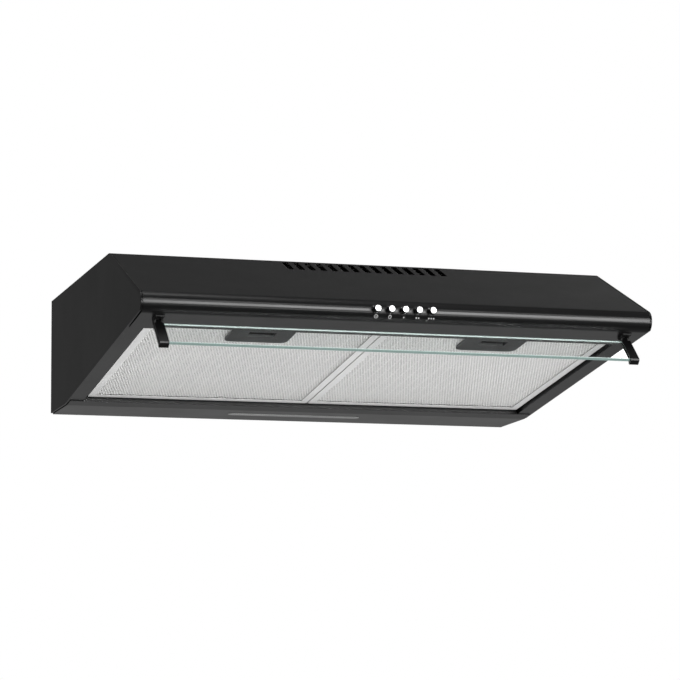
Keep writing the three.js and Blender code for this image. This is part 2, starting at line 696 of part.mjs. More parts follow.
/** A double-inlet wheel: centre disc and hub, two end rings, and forward-curved blades. */
function impeller() {
  const [y, z] = blowerAxis;
  const reach = IMPELLER_WIDTH / 2;
  const ring = (side) =>
    cut(
      rod(wheelRadius, [side * (reach - 2), y, z], [side * reach, y, z]),
      rod(wheelInner + 2, [side * (reach - 3), y, z], [side * (reach + 1), y, z]),
    );
  const disc = join(
    rod(wheelRadius - 1, [-1, y, z], [1, y, z]),
    rod(HUB_RADIUS, [-IMPELLER_WIDTH / 5, y, z], [1, y, z], 20),
  );
  const lean = 5; // how far the blade's outer edge leads its inner edge
  const bow = 1.6;
  const middle = (wheelInner + wheelRadius) / 2;
  const blade = sheetOutline(
    [
      [wheelInner, 0],
      [middle, lean / 2 - bow],
      [wheelRadius - 0.6, lean],
    ],
    BLADE_THICK,
  );
  const blades = Array.from({ length: BLADE_COUNT }, (_, i) =>
    extrudeX(blade, -reach + 0.5, reach - 0.5)
      .rotate([(360 * i) / BLADE_COUNT, 0, 0])
      .translate([0, y, z]),
  );
  const bore = rod(SHAFT_RADIUS + LAP, [-reach, y, z], [reach, y, z], 16);
  return cut(join(disc, ring(-1), ring(1), ...blades), bore);
}

// ---------------------------------------------------------------- fasteners

const SCREW = {
  radius: 1.9,
  clearance: 2.2,
  head: 3.8,
  headHeight: 2.4,
  recess: 1.1,
  cross: 2.2, // half the length of the recess
  slot: 0.5, // half its width
};

/** A pan-head screw driven upwards, with a cross recess in its head. */
function screw([x, y], seat, top) {
  const cross = (dx, dy) =>
    box(
      [x - dx, y - dy, seat - SCREW.headHeight - 1],
      [x + dx, y + dy, seat - SCREW.headHeight + SCREW.recess],
    );
  return cut(
    join(
      rod(SCREW.radius, [x, y, seat - 1], [x, y, top], 12),
      rod(SCREW.head, [x, y, seat - SCREW.headHeight], [x, y, seat - LAP / 2], 16),
    ),
    cross(SCREW.cross, SCREW.slot),
    cross(SCREW.slot, SCREW.cross),
  );
}

// ---------------------------------------------------------------- controls

const SWITCH = {
  reach: 52,
  front: DEPTH - 22,
  back: DEPTH - 52,
  up: 9.5,
  down: 10.5,
  well: 16, // depth of a button's well
  blade: 6, // length of a terminal
  foot: 14, // how far the bracket's base runs past the switches
};

/** The row of five latching switches behind the nose, with a well for each button. */
function switchBody() {
  const block = box(
    [-SWITCH.reach, -SWITCH.front, -NOSE_DROP - SWITCH.down],
    [SWITCH.reach, -SWITCH.back, -NOSE_DROP + SWITCH.up],
  );
  const wells = Array.from({ length: BUTTON_COUNT }, (_, i) =>
    rod(
      BUTTON_RADIUS + BUTTON_GAP,
      [buttonX(i), -SWITCH.front - 1, -NOSE_DROP],
      [buttonX(i), -SWITCH.front + SWITCH.well, -NOSE_DROP],
      20,
    ),
  );
  const terminals = Array.from({ length: BUTTON_COUNT }, (_, i) =>
    box(
      [buttonX(i) - 3, -SWITCH.back - 1, -NOSE_DROP - 1],
      [buttonX(i) + 3, -SWITCH.back + SWITCH.blade, -NOSE_DROP],
    ),
  );
  return cut(join(block, ...terminals), ...wells);
}

/** The bracket that holds the switch row to the front panel's return. */
function switchBracket() {
  const reach = SWITCH.reach + SWITCH.foot;
  const base = fromUnderside(
    box(
      [-reach, -alongSlope(SWITCH.front - 4), SHEET + LAP],
      [reach, -openingLength - SHEET - LAP, 2 * SHEET + LAP],
    ),
  );
  const lift = (1.5 * SHEET + LAP) / Math.cos(UNDERSIDE);
  const [front, back] = [-SWITCH.front + 8, -SWITCH.back];
  const outline = [
    [front, undersideZ(front) + lift],
    [back, undersideZ(back) + lift],
    [back, -NOSE_DROP + SWITCH.up],
    [front, -NOSE_DROP + SWITCH.up],
  ];
  const cheek = (side) => {
    const ends = [side * (SWITCH.reach + LAP), side * (SWITCH.reach + LAP + SHEET)];
    return extrudeX(outline, Math.min(...ends), Math.max(...ends));
  };
  return join(base, cheek(-1), cheek(1));
}

/** A push button: a round stem with a softened face and a collar that keeps it behind the panel. */
function button(i) {
  const x = buttonX(i);
  const face = -DEPTH - BUTTON_REACH;
  const end = -SWITCH.front + 9;
  const profile = [
    [0, 0],
    [BUTTON_RADIUS - BUTTON_EDGE, 0],
    [BUTTON_RADIUS - 0.25 * BUTTON_EDGE, 0.25 * BUTTON_EDGE],
    [BUTTON_RADIUS, BUTTON_EDGE],
    [BUTTON_RADIUS, end - face],
    [0, end - face],
  ].map(([r, along]) => new THREE.Vector2(r, along));
  const geometry = new THREE.LatheGeometry(profile, 24);
  geometry.translate(x, face, -NOSE_DROP);
  const collarRadius = BUTTON_RADIUS + BUTTON_COLLAR;
  const behindNose = noseCentre[0] - Math.sqrt((NOSE_RADIUS - SHEET) ** 2 - collarRadius ** 2);
  const collar = [behindNose + LAP, behindNose + LAP + 2].map((y) => [x, y, -NOSE_DROP]);
  return join(solid(geometry), rod(collarRadius, ...collar, 24));
}

// ---------------------------------------------------------------- lamp and electrics

function lampLens() {
  const stem = lampSlot(-LAP, -HEIGHT - LENS_PROUD, -HEIGHT + SHEET + 1);
  const flange = lampSlot(LENS_FLANGE, -HEIGHT + SHEET + LAP, -HEIGHT + SHEET + LAP + 1.5);
  return join(stem, flange);
}

/** A shallow tray over the lens, open below, which holds the light board. */
function lampHousing() {
  const low = -HEIGHT + SHEET + LAP;
  return cut(
    lampSlot(LENS_FLANGE + LAMP_TRAY.wall, low, low + LAMP_TRAY.height),
    lampSlot(LENS_FLANGE + LAP, low - 1, low + LAMP_TRAY.height - LAMP_TRAY.top),
  );
}

/** The light board: a plate with a row of square chips under it. */
function ledBoard() {
  const { height, thick, half: reach, chips: count, pitch, chip } = LAMP_BOARD;
  const z = -HEIGHT + SHEET + LAP + height;
  const y = -LENS_FROM_WALL;
  const chips = Array.from({ length: count }, (_, i) => {
    const x = (i - (count - 1) / 2) * pitch;
    return box([x - chip, y - chip, z - 1], [x + chip, y + chip, z + LAP]);
  });
  const plate = box([-LENS_LENGTH / 2, y - reach, z], [LENS_LENGTH / 2, y + reach, z + thick]);
  return join(plate, ...chips);
}

const DRIVER = { x0: 140, x1: 232, fromWall: 46, depth: 34, height: 22, ear: 6, earThick: 2.5 };

function ledDriver() {
  const z = -HEIGHT + SHEET + LAP;
  const y = -DRIVER.fromWall;
  const body = box(
    [DRIVER.x0, y - DRIVER.depth / 2, z],
    [DRIVER.x1, y + DRIVER.depth / 2, z + DRIVER.height],
  );
  const ear = (x) =>
    box(
      [x - DRIVER.ear, y - DRIVER.ear, z],
      [x + DRIVER.ear, y + DRIVER.ear, z + DRIVER.earThick],
    );
  return join(body, ear(DRIVER.x0), ear(DRIVER.x1));
}

const TERMINAL = { x: -150, width: 80, depth: 34, drop: 8, height: 40, wall: 2 };

/** The box that the mains cable is connected in, open at the front. */
function terminalBox() {
  const { x, width, depth, drop, height, wall } = TERMINAL;
  const back = -SHEET - LAP;
  const front = back - depth;
  const cable = rod(
    GROMMET.bore + 1,
    [x, -GROMMET.fromWall, -drop - wall - 2],
    [x, -GROMMET.fromWall, -drop + 1],
  );
  return cut(
    box([x - width / 2, front, -drop - height], [x + width / 2, back, -drop]),
    box(
      [x - width / 2 + wall, front - 1, -drop - height + wall],
      [x + width / 2 - wall, back - wall, -drop - wall],
    ),
    cable,
  );
}

function terminalBoxLid() {
  const { x, width, depth, drop, height, wall } = TERMINAL;
  const front = -SHEET - LAP - depth;
  return join(
    box([x - width / 2, front - LAP - wall, -drop - height], [x + width / 2, front - LAP, -drop]),
    box(
      [x - width / 2 + wall + LAP, front - LAP - 1, -drop - height + wall + LAP],
      [x + width / 2 - wall - LAP, front + 3, -drop - wall - LAP],
    ),
  );
}

/** The rubber grommet for the mains cable, flush with the top face so that the cabinet lies flat on it. */
function cableGrommet() {
  const { x, fromWall, radius, bore, flange } = GROMMET;
  const y = -fromWall;
  return cut(
    join(
      rod(radius - LAP, [x, y, -SHEET - 3], [x, y, -LAP], 24),
      rod(flange, [x, y, -SHEET - LAP - 2.2], [x, y, -SHEET - LAP], 24),
    ),
    rod(bore, [x, y, -SHEET - 4], [x, y, 1], 20),
  );
}

const CAPACITOR = { x0: 78, length: 52, radius: 14, fromWall: 46, lift: 3, strap: 4, foot: 5, tag: 8 };

/** The motor's run capacitor with its fixing stud and strap. */
function runCapacitor() {
  const { x0, length, radius, fromWall, lift, strap, foot, tag } = CAPACITOR;
  const z = -SHEET - LAP - radius - lift;
  const y = -fromWall;
  const x1 = x0 + length;
  const middle = (x0 + x1) / 2;
  const band = box(
    [middle - strap, y - radius - foot, z],
    [middle + strap, y + radius + foot, z + radius + lift],
  );
  const can = rod(radius, [x0, y, z], [x1, y, z]);
  const tags = [-4, 4].map((dy) =>
    box([x1 - 1, y + dy - 1, z - 3], [x1 + tag, y + dy + 1, z + 3]),
  );
  return join(can, band, ...tags);
}

// ---------------------------------------------------------------- grease filters

const filterWidth = openingHalf - FILTER_MARGIN - FILTER_GAP / 2;
const filterLength = openingLength - FILTER_REAR_GAP - FILTER_MARGIN;
const filterX = filterWidth / 2 + FILTER_GAP / 2;
const handleFront = -filterLength + HANDLE_FRONT;
const handleRear = handleFront + HANDLE_LENGTH;
const pocketFront = handleFront + POCKET_FRONT;
const pocketRear = pocketFront + POCKET_LENGTH;
const latchWidth = POCKET_WIDTH + 2 * LATCH_MARGIN;
const latchWell = {
  top: LATCH_DEPTH + LATCH_THICK + LAP,
  rear: pocketRear + LATCH_TRAVEL + LATCH_MARGIN,
};

/** The room that the handle's body and the latch need inside the filter, as a cutting tool. */
function latchRoom(play) {
  const x = latchWidth / 2 + HANDLE_RIM + play;
  return box(
    [-x, -filterLength - 1, -1],
    [x, latchWell.rear + HANDLE_RIM + play, latchWell.top + 1 + play],
  );
}

/** The folded border of a filter: a channel open inwards, with two tongues that hook over the rear lip. */
function filterFrame() {
  const x = filterWidth / 2;
  const tabZ = LIP + TAB_PLAY - FILTER_RECESS;
  const channel = cut(
    extrudeZ(roundedRectangle(-x, -filterLength, x, 0, [2, 2, 2, 2]), 0, FILTER_THICK, 2),
    box(
      [-x + FILTER_BORDER, -filterLength + FILTER_BORDER, -1],
      [x - FILTER_BORDER, -FILTER_BORDER, FILTER_THICK + 1],
    ),
    box(
      [-x + FILTER_WALL, -filterLength + FILTER_WALL, FILTER_WALL],
      [x - FILTER_WALL, -FILTER_WALL, FILTER_THICK - FILTER_WALL],
    ),
  );
  const tabs = [-1, 1].map((side) => {
    const middle = side * (x - TAB_INSET);
    return box(
      [middle - TAB_WIDTH / 2, -FILTER_WALL / 2, tabZ],
      [middle + TAB_WIDTH / 2, TAB_LENGTH, tabZ + SHEET],
    );
  });
  return cut(join(channel, ...tabs), latchRoom(LAP));
}

/** Half the width of what lies inside the border's channel, and the ends of its length. */
const packX = filterWidth / 2 - FILTER_WALL - LAP;
const packY = [-filterLength + FILTER_WALL + LAP, -FILTER_WALL - LAP];
const lowMesh = FILTER_WALL + LAP;
const highMesh = FILTER_THICK - FILTER_WALL - LAP - MESH_THICK;

/** A sheet of expanded mesh, modelled plain, whose edges lie in the border's channel. */
function filterMesh(z) {
  const sheet = box([-packX, packY[0], z], [packX, packY[1], z + MESH_THICK]);
  return cut(sheet, latchRoom(LAP));
}

/** The folded sheet between the two meshes, a zigzag along X. */
function filterCore() {
  const low = lowMesh + MESH_THICK + LAP;
  const high = highMesh - LAP - 2 * CORE_THICK;
  const folds = 2 * Math.floor((packX - LAP) / CORE_FOLD);
  const line = Array.from({ length: folds + 1 }, (_, i) => [
    (i - folds / 2) * CORE_FOLD,
    i % 2 === 0 ? low : high,
  ]);
  const outline = sheetOutline(line, CORE_THICK).map(([x, z]) => new THREE.Vector2(x, z));
  const zigzag = extrudeZ(new THREE.Shape(outline), packY[0], packY[1]).rotate([90, 0, 0]);
  return cut(zigzag.mirror([0, 1, 0]), latchRoom(LAP));
}

/** The plastic handle plate: a rounded plate with a finger pocket, and a frame that guides the latch. */
function filterHandle() {
  const x = HANDLE_WIDTH / 2;
  const r = HANDLE_CORNER;
  const plate = extrudeZ(
    roundedRectangle(-x, handleFront, x, handleRear, [r, r, 1, 1]),
    -HANDLE_PROUD,
    -LAP,
    6,
  );
  const wellX = latchWidth / 2 + LAP;
  const body = box(
    [-wellX - HANDLE_RIM + LAP, handleFront, -1],
    [wellX + HANDLE_RIM - LAP, latchWell.rear + HANDLE_RIM, latchWell.top + 1],
  );
  const well = box([-wellX, handleFront - 1, HANDLE_BODY], [wellX, latchWell.rear, latchWell.top]);
  const pocket = box(
    [-POCKET_WIDTH / 2, pocketFront, -HANDLE_PROUD - 1],
    [POCKET_WIDTH / 2, pocketRear, HANDLE_BODY + 1],
  );
  return cut(join(plate, body), well, pocket);
}

/** The sliding latch: a plate over the pocket, a wall for the fingertip, and a tongue to the front lip. */
function filterLatch() {
  const wallRear = pocketRear - LATCH_TRAVEL - LAP;
  const plate = box(
    [-latchWidth / 2, handleFront + LATCH_NOSE, LATCH_DEPTH],
    [latchWidth / 2, latchWell.rear - LATCH_TRAVEL - LAP, LATCH_DEPTH + LATCH_THICK],
  );
  const fingerWall = box(
    [-POCKET_WIDTH / 2 + 1, wallRear - LATCH_THICK, FINGER_REACH - HANDLE_PROUD],
    [POCKET_WIDTH / 2 - 1, wallRear, LATCH_DEPTH + 0.5],
  );
  const tongue = box(
    [-LATCH_TONGUE / 2, -filterLength - FILTER_MARGIN + LATCH_SHORT, LATCH_DEPTH],
    [LATCH_TONGUE / 2, handleFront + LATCH_NOSE + 1, LATCH_DEPTH + LATCH_THICK],
  );
  return join(plate, fingerWall, tongue);
}

// ---------------------------------------------------------------- visor

const visorPivotY = -alongSlope(DEPTH - VISOR_SETBACK);
const visorTilt = VISOR_ANGLE + UNDERSIDE; // about the pivot, from the underside's own direction
const glassStart = -4.5; // along the arm from the pivot
const glassHalf = ARM_X - ARM_WIDTH / 2 + GLASS_BITE;

/** The pane's outline with rounded corners, grown all round by some play. */
function glassPane(play) {
  const x = glassHalf + play;
  const far = glassStart - GLASS_WIDTH;
  const r = GLASS_CORNER;
  const outline = roundedRectangle(-x, far - play, x, glassStart + play, [r, r, r, r]);
  return extrudeZ(outline, -GLASS_THICK / 2 - play, GLASS_THICK / 2 + play, 4);
}

/** An arm: a round eye on the pin, a straight bar with a groove for the glass, and a hooked end. */
function visorArm(side) {
  const inner = side * (ARM_X - ARM_WIDTH / 2);
  const outer = side * (ARM_X + ARM_WIDTH / 2);
  const [x0, x1] = [Math.min(inner, outer), Math.max(inner, outer)];
  const eyeX = ARM_WIDTH / 2 - EAR_THICK - 0.4;
  const eye = rod(ARM_EYE, [side * ARM_X - eyeX, 0, 0], [side * ARM_X + eyeX, 0, 0], 20);
  const tip = -ARM_LENGTH - ARM_HOOK;
  const { start, end, half: neckHalf } = ARM_NECK;
  const neck = box(
    [side * ARM_X - eyeX, start - 1, -neckHalf],
    [side * ARM_X + eyeX, end, neckHalf],
  );
  const t = ARM_THICK / 2;
  const bar = extrudeX(
    [
      [start, -t + 1],
      [start, t - 1],
      [start - 1, t],
      [tip + 1.5, t],
      [tip, t - 1.5],
      [tip, -t - 0.5],
      [tip + 1.2, -t - ARM_LIP],
      [tip + ARM_HOOK + 1, -t - ARM_LIP],
      [tip + ARM_HOOK + 2.6, -t],
      [start - 1, -t],
    ].reverse(),
    x0,
    x1,
  );
  return cut(
    join(eye, neck, bar),
    glassPane(GLASS_PLAY),
    rod(VISOR_PIN_RADIUS + PIN_PLAY, [x0 - 1, 0, 0], [x1 + 1, 0, 0], 16),
  );
}

/** A bracket under the front panel's return: a base and two ears that hold the visor's pin. */
function visorBracket(side) {
  const x = side * ARM_X;
  const w = ARM_WIDTH / 2;
  const top = -LAP;
  const base = box(
    [x - w, visorPivotY - BRACKET_LENGTH + BRACKET_REAR, top - BRACKET_BASE],
    [x + w, visorPivotY + BRACKET_REAR, top],
  );
  const ear = (dx) => {
    const corner = -VISOR_DROP - EAR_FOOT + 0.2;
    const outline = [
      [visorPivotY + BRACKET_REAR - 1, top - 1],
      [visorPivotY - EAR_HALF, top - 1],
      [visorPivotY - EAR_HALF, corner],
      [visorPivotY - EAR_FOOT, corner - EAR_HALF + EAR_FOOT],
      [visorPivotY + EAR_FOOT, corner - EAR_HALF + EAR_FOOT],
      [visorPivotY + EAR_HALF, corner],
    ];
    return extrudeX(outline, dx, dx + EAR_THICK);
  };
  const bore = rod(
    VISOR_PIN_RADIUS + PIN_PLAY,
    [x - w - 1, visorPivotY, -VISOR_DROP],
    [x + w + 1, visorPivotY, -VISOR_DROP],
    16,
  );
  return cut(join(base, ear(x - w), ear(x + w - EAR_THICK)), bore);
}

function visorPin(side) {
  const x = side * ARM_X;
  const w = ARM_WIDTH / 2 - 0.2;
  const end = (dx) => [x + dx, visorPivotY, -VISOR_DROP];
  return rod(VISOR_PIN_RADIUS, end(-w), end(w), 16);
}

// ---------------------------------------------------------------- assembly

piece("top_rear_panel", topRearPanel(), materials.blackPaint);
piece("left_side_panel", sidePanel(-1), materials.blackPaint);
piece("right_side_panel", sidePanel(1), materials.blackPaint);
piece("front_panel", frontPanel(), materials.blackPaint);
piece("lamp_panel", lampPanel(), materials.blackPaint);

piece("outlet_collar", outletCollar(), materials.blackPlastic);
piece("collar_ring", collarRing(), materials.blackPlastic);
piece("front_flap", flap(-1), materials.blackPlastic);
piece("rear_flap", flap(1), materials.blackPlastic);
piece("flap_pin", flapPin(), materials.zinc);

piece("blower_housing_left", blowerHousing(-1), materials.whitePlastic);
piece("blower_housing_right", blowerHousing(1), materials.whitePlastic);
piece("motor_bracket", motorBracket(), materials.zinc);
piece("motor_can", motorCan(), materials.zinc);
piece("motor_shaft", motorShaft(), materials.zinc);
piece("impeller", impeller(), materials.greyPlastic);
piece("run_capacitor", runCapacitor(), materials.whitePlastic);
collarScrews.forEach((place, i) => {
  const seat = blowerTop - BLOWER_FLANGE_THICK - LAP / 2;
  piece(`collar_screw_${i + 1}`, screw(place, seat, collarTop), materials.zinc);
});

piece("terminal_box", terminalBox(), materials.greyPlastic);
piece("terminal_box_lid", terminalBoxLid(), materials.greyPlastic);
piece("cable_grommet", cableGrommet(), materials.blackPlastic);

piece("switch_body", switchBody(), materials.whitePlastic);
piece("switch_bracket", switchBracket(), materials.zinc);
const buttonNames = ["lamp", "stop", "speed_1", "speed_2", "speed_3"];
buttonNames.forEach((name, i) => piece(`button_${name}`, button(i), materials.chrome));

piece("lamp_lens", lampLens(), materials.lens);
piece("lamp_housing", lampHousing(), materials.whitePlastic);
piece("led_board", ledBoard(), materials.board);
piece("led_driver", ledDriver(), materials.whitePlastic);

for (const [side, label] of [
  [-1, "left"],
  [1, "right"],
]) {
  const filter = new THREE.Group();
  filter.position.set(side * filterX, -FILTER_REAR_GAP, FILTER_RECESS);
  underside.add(filter);
  piece(`${label}_filter_frame`, filterFrame(), materials.aluminium, filter);
  piece(`${label}_filter_mesh`, filterMesh(lowMesh), materials.aluminium, filter);
  piece(`${label}_filter_core`, filterCore(), materials.aluminium, filter);
  piece(`${label}_filter_back_mesh`, filterMesh(highMesh), materials.aluminium, filter);
  piece(`${label}_filter_handle`, filterHandle(), materials.greyPlastic, filter);
  piece(`${label}_filter_latch`, filterLatch(), materials.greyPlastic, filter);

  piece(`${label}_visor_bracket`, visorBracket(side), materials.blackPlastic, underside);
  piece(`${label}_visor_pin`, visorPin(side), materials.zinc, underside);
}

const visor = new THREE.Group();
visor.position.set(0, visorPivotY, -VISOR_DROP);
visor.rotation.x = visorTilt;
underside.add(visor);
piece("left_visor_arm", visorArm(-1), materials.blackPlastic, visor);
piece("right_visor_arm", visorArm(1), materials.blackPlastic, visor);
piece("visor_glass", glassPane(0), materials.glass, visor);

export default hood;
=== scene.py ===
"""Under cabinet range hood: the looks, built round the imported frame.

Metres, in the frame's own axes: +X is the hood's right seen from the front, +Y points at the wall
and +Z is up. The origin is midway between the two rear cabinet fixing holes, on the top face.
"""

import json  # noqa: E402
import logging  # noqa: E402
import math  # noqa: E402
from dataclasses import dataclass, field  # noqa: E402
from enum import Enum  # noqa: E402
from typing import Sequence, Union  # noqa: E402

import bmesh  # noqa: E402
import bpy  # noqa: E402
from mathutils import Matrix, Vector  # noqa: E402

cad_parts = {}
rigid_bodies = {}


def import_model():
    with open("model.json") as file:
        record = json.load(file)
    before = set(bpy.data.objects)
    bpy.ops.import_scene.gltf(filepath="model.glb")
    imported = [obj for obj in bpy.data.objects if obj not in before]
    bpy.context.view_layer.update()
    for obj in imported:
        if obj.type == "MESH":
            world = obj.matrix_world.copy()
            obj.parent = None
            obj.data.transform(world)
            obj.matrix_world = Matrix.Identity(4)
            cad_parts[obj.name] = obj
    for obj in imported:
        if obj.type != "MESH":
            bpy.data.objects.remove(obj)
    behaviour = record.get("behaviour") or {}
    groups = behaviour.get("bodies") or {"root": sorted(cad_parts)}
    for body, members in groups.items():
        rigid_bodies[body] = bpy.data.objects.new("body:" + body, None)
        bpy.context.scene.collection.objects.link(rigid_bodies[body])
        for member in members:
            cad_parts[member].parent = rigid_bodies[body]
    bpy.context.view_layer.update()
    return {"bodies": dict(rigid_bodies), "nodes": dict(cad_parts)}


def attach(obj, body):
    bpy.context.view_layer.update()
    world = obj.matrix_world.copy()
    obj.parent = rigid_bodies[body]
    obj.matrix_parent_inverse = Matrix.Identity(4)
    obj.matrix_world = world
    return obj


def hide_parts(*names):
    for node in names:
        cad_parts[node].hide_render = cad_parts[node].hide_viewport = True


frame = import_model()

log = logging.getLogger("hood")

MM = 0.001
MERGE_WITHIN = 2e-6
FLAT_WITHIN = math.radians(0.4)
ROUNDED_OVER = math.radians(40.0)
FACE_WEIGHT = 90
SOCKET_KINDS = {
    "float": "NodeSocketFloat",
    "int": "NodeSocketInt",
    "vector": "NodeSocketVector",
    "colour": "NodeSocketColor",
    "geometry": "NodeSocketGeometry",
    "material": "NodeSocketMaterial",
}

Value = Union[float, int, bool, str, Sequence[float], bpy.types.NodeSocket, bpy.types.Material]


# ---------------------------------------------------------------- node trees


class Tree:
    """A short way to write a node tree: each call adds a node and joins or sets its inputs."""

    def __init__(self, tree: bpy.types.NodeTree) -> None:
        """Wraps a node tree.

        Args:
            tree: the tree to write in.
        """
        self.tree = tree

    def put(self, socket: bpy.types.NodeSocket, value: Value) -> None:
        """Joins a socket to an output, or sets its own value.

        Args:
            socket: the input.
            value: an output socket, or a plain value.
        """
        if isinstance(value, bpy.types.NodeSocket):
            self.tree.links.new(value, socket)
        else:
            socket.default_value = value

    def node(
        self,
        kind: str,
        inputs: dict[Union[str, int], Value] | None = None,
        **settings: object,
    ) -> bpy.types.Node:
        """Adds a node.

        Args:
            kind: the node's type name.
            inputs: values or outputs for its inputs, by name or number.
            settings: its own options.

        Returns:
            The node.
        """
        made = self.tree.nodes.new(kind)
        for name, setting in settings.items():
            setattr(made, name, setting)
        for key, value in (inputs or {}).items():
            self.put(made.inputs[key], value)
        return made

    def place(self) -> bpy.types.NodeSocket:
        """The point's place on the piece."""
        return self.node("ShaderNodeTexCoord").outputs["Object"]

    def noise(self, place: Value, scale: Value, detail: float) -> bpy.types.NodeSocket:
        """Adds a noise.

        Args:
            place: where it is read.
            scale: how fine it is.
            detail: how many finer layers it has.

        Returns:
            Its value, about 0.5.
        """
        inputs = {"Vector": place, "Scale": scale, "Detail": detail}
        return self.node("ShaderNodeTexNoise", inputs).outputs["Fac"]

    def spread(
        self, value: Value, given: tuple[float, float], made: tuple[Value, Value]
    ) -> bpy.types.NodeSocket:
        """Maps one range onto another, and keeps to its ends.

        Args:
            value: the value to map.
            given: the range that it comes in.
            made: the range that it goes to.

        Returns:
            The mapped value.
        """
        inputs: dict[Union[str, int], Value] = {"Value": value}
        inputs.update({"From Min": given[0], "From Max": given[1]})
        inputs.update({"To Min": made[0], "To Max": made[1]})
        return self.node("ShaderNodeMapRange", inputs).outputs["Result"]

    def math(self, operation: str, first: Value, second: Value = 0.0) -> bpy.types.NodeSocket:
        """Adds a Math node (of the tree's own family).

        Args:
            operation: what it does.
            first: first operand.
            second: second operand.

        Returns:
            Its result.
        """
        return self.node("ShaderNodeMath", {0: first, 1: second}, operation=operation).outputs[0]


def new_group(
    name: str,
    kind: str,
    inputs: dict[str, tuple[str, Value | None]],
    outputs: dict[str, str],
) -> tuple[Tree, bpy.types.Node, bpy.types.Node]:
    """Makes a node group with named sockets.

    Args:
        name: the group's name.
        kind: the tree's type name.
        inputs: for each input its socket kind and its default.
        outputs: for each output its socket kind.

    Returns:
        The tree, its input node and its output node.
    """
    tree = bpy.data.node_groups.new(name, kind)
    for label, (socket_kind, default) in inputs.items():
        made = tree.interface.new_socket(
            label, in_out="INPUT", socket_type=SOCKET_KINDS[socket_kind]
        )
        if default is not None:
            made.default_value = default
    for label, socket_kind in outputs.items():
        tree.interface.new_socket(label, in_out="OUTPUT", socket_type=SOCKET_KINDS[socket_kind])
    return Tree(tree), tree.nodes.new("NodeGroupInput"), tree.nodes.new("NodeGroupOutput")


class Effect(Enum):
    """The surface effects that several finishes share."""

    GRAIN = "surface grain"
    SMUDGE = "handling smudges"
    STREAK = "rolling streaks"
    WEAR = "edge wear"
    DUST = "settled dust"


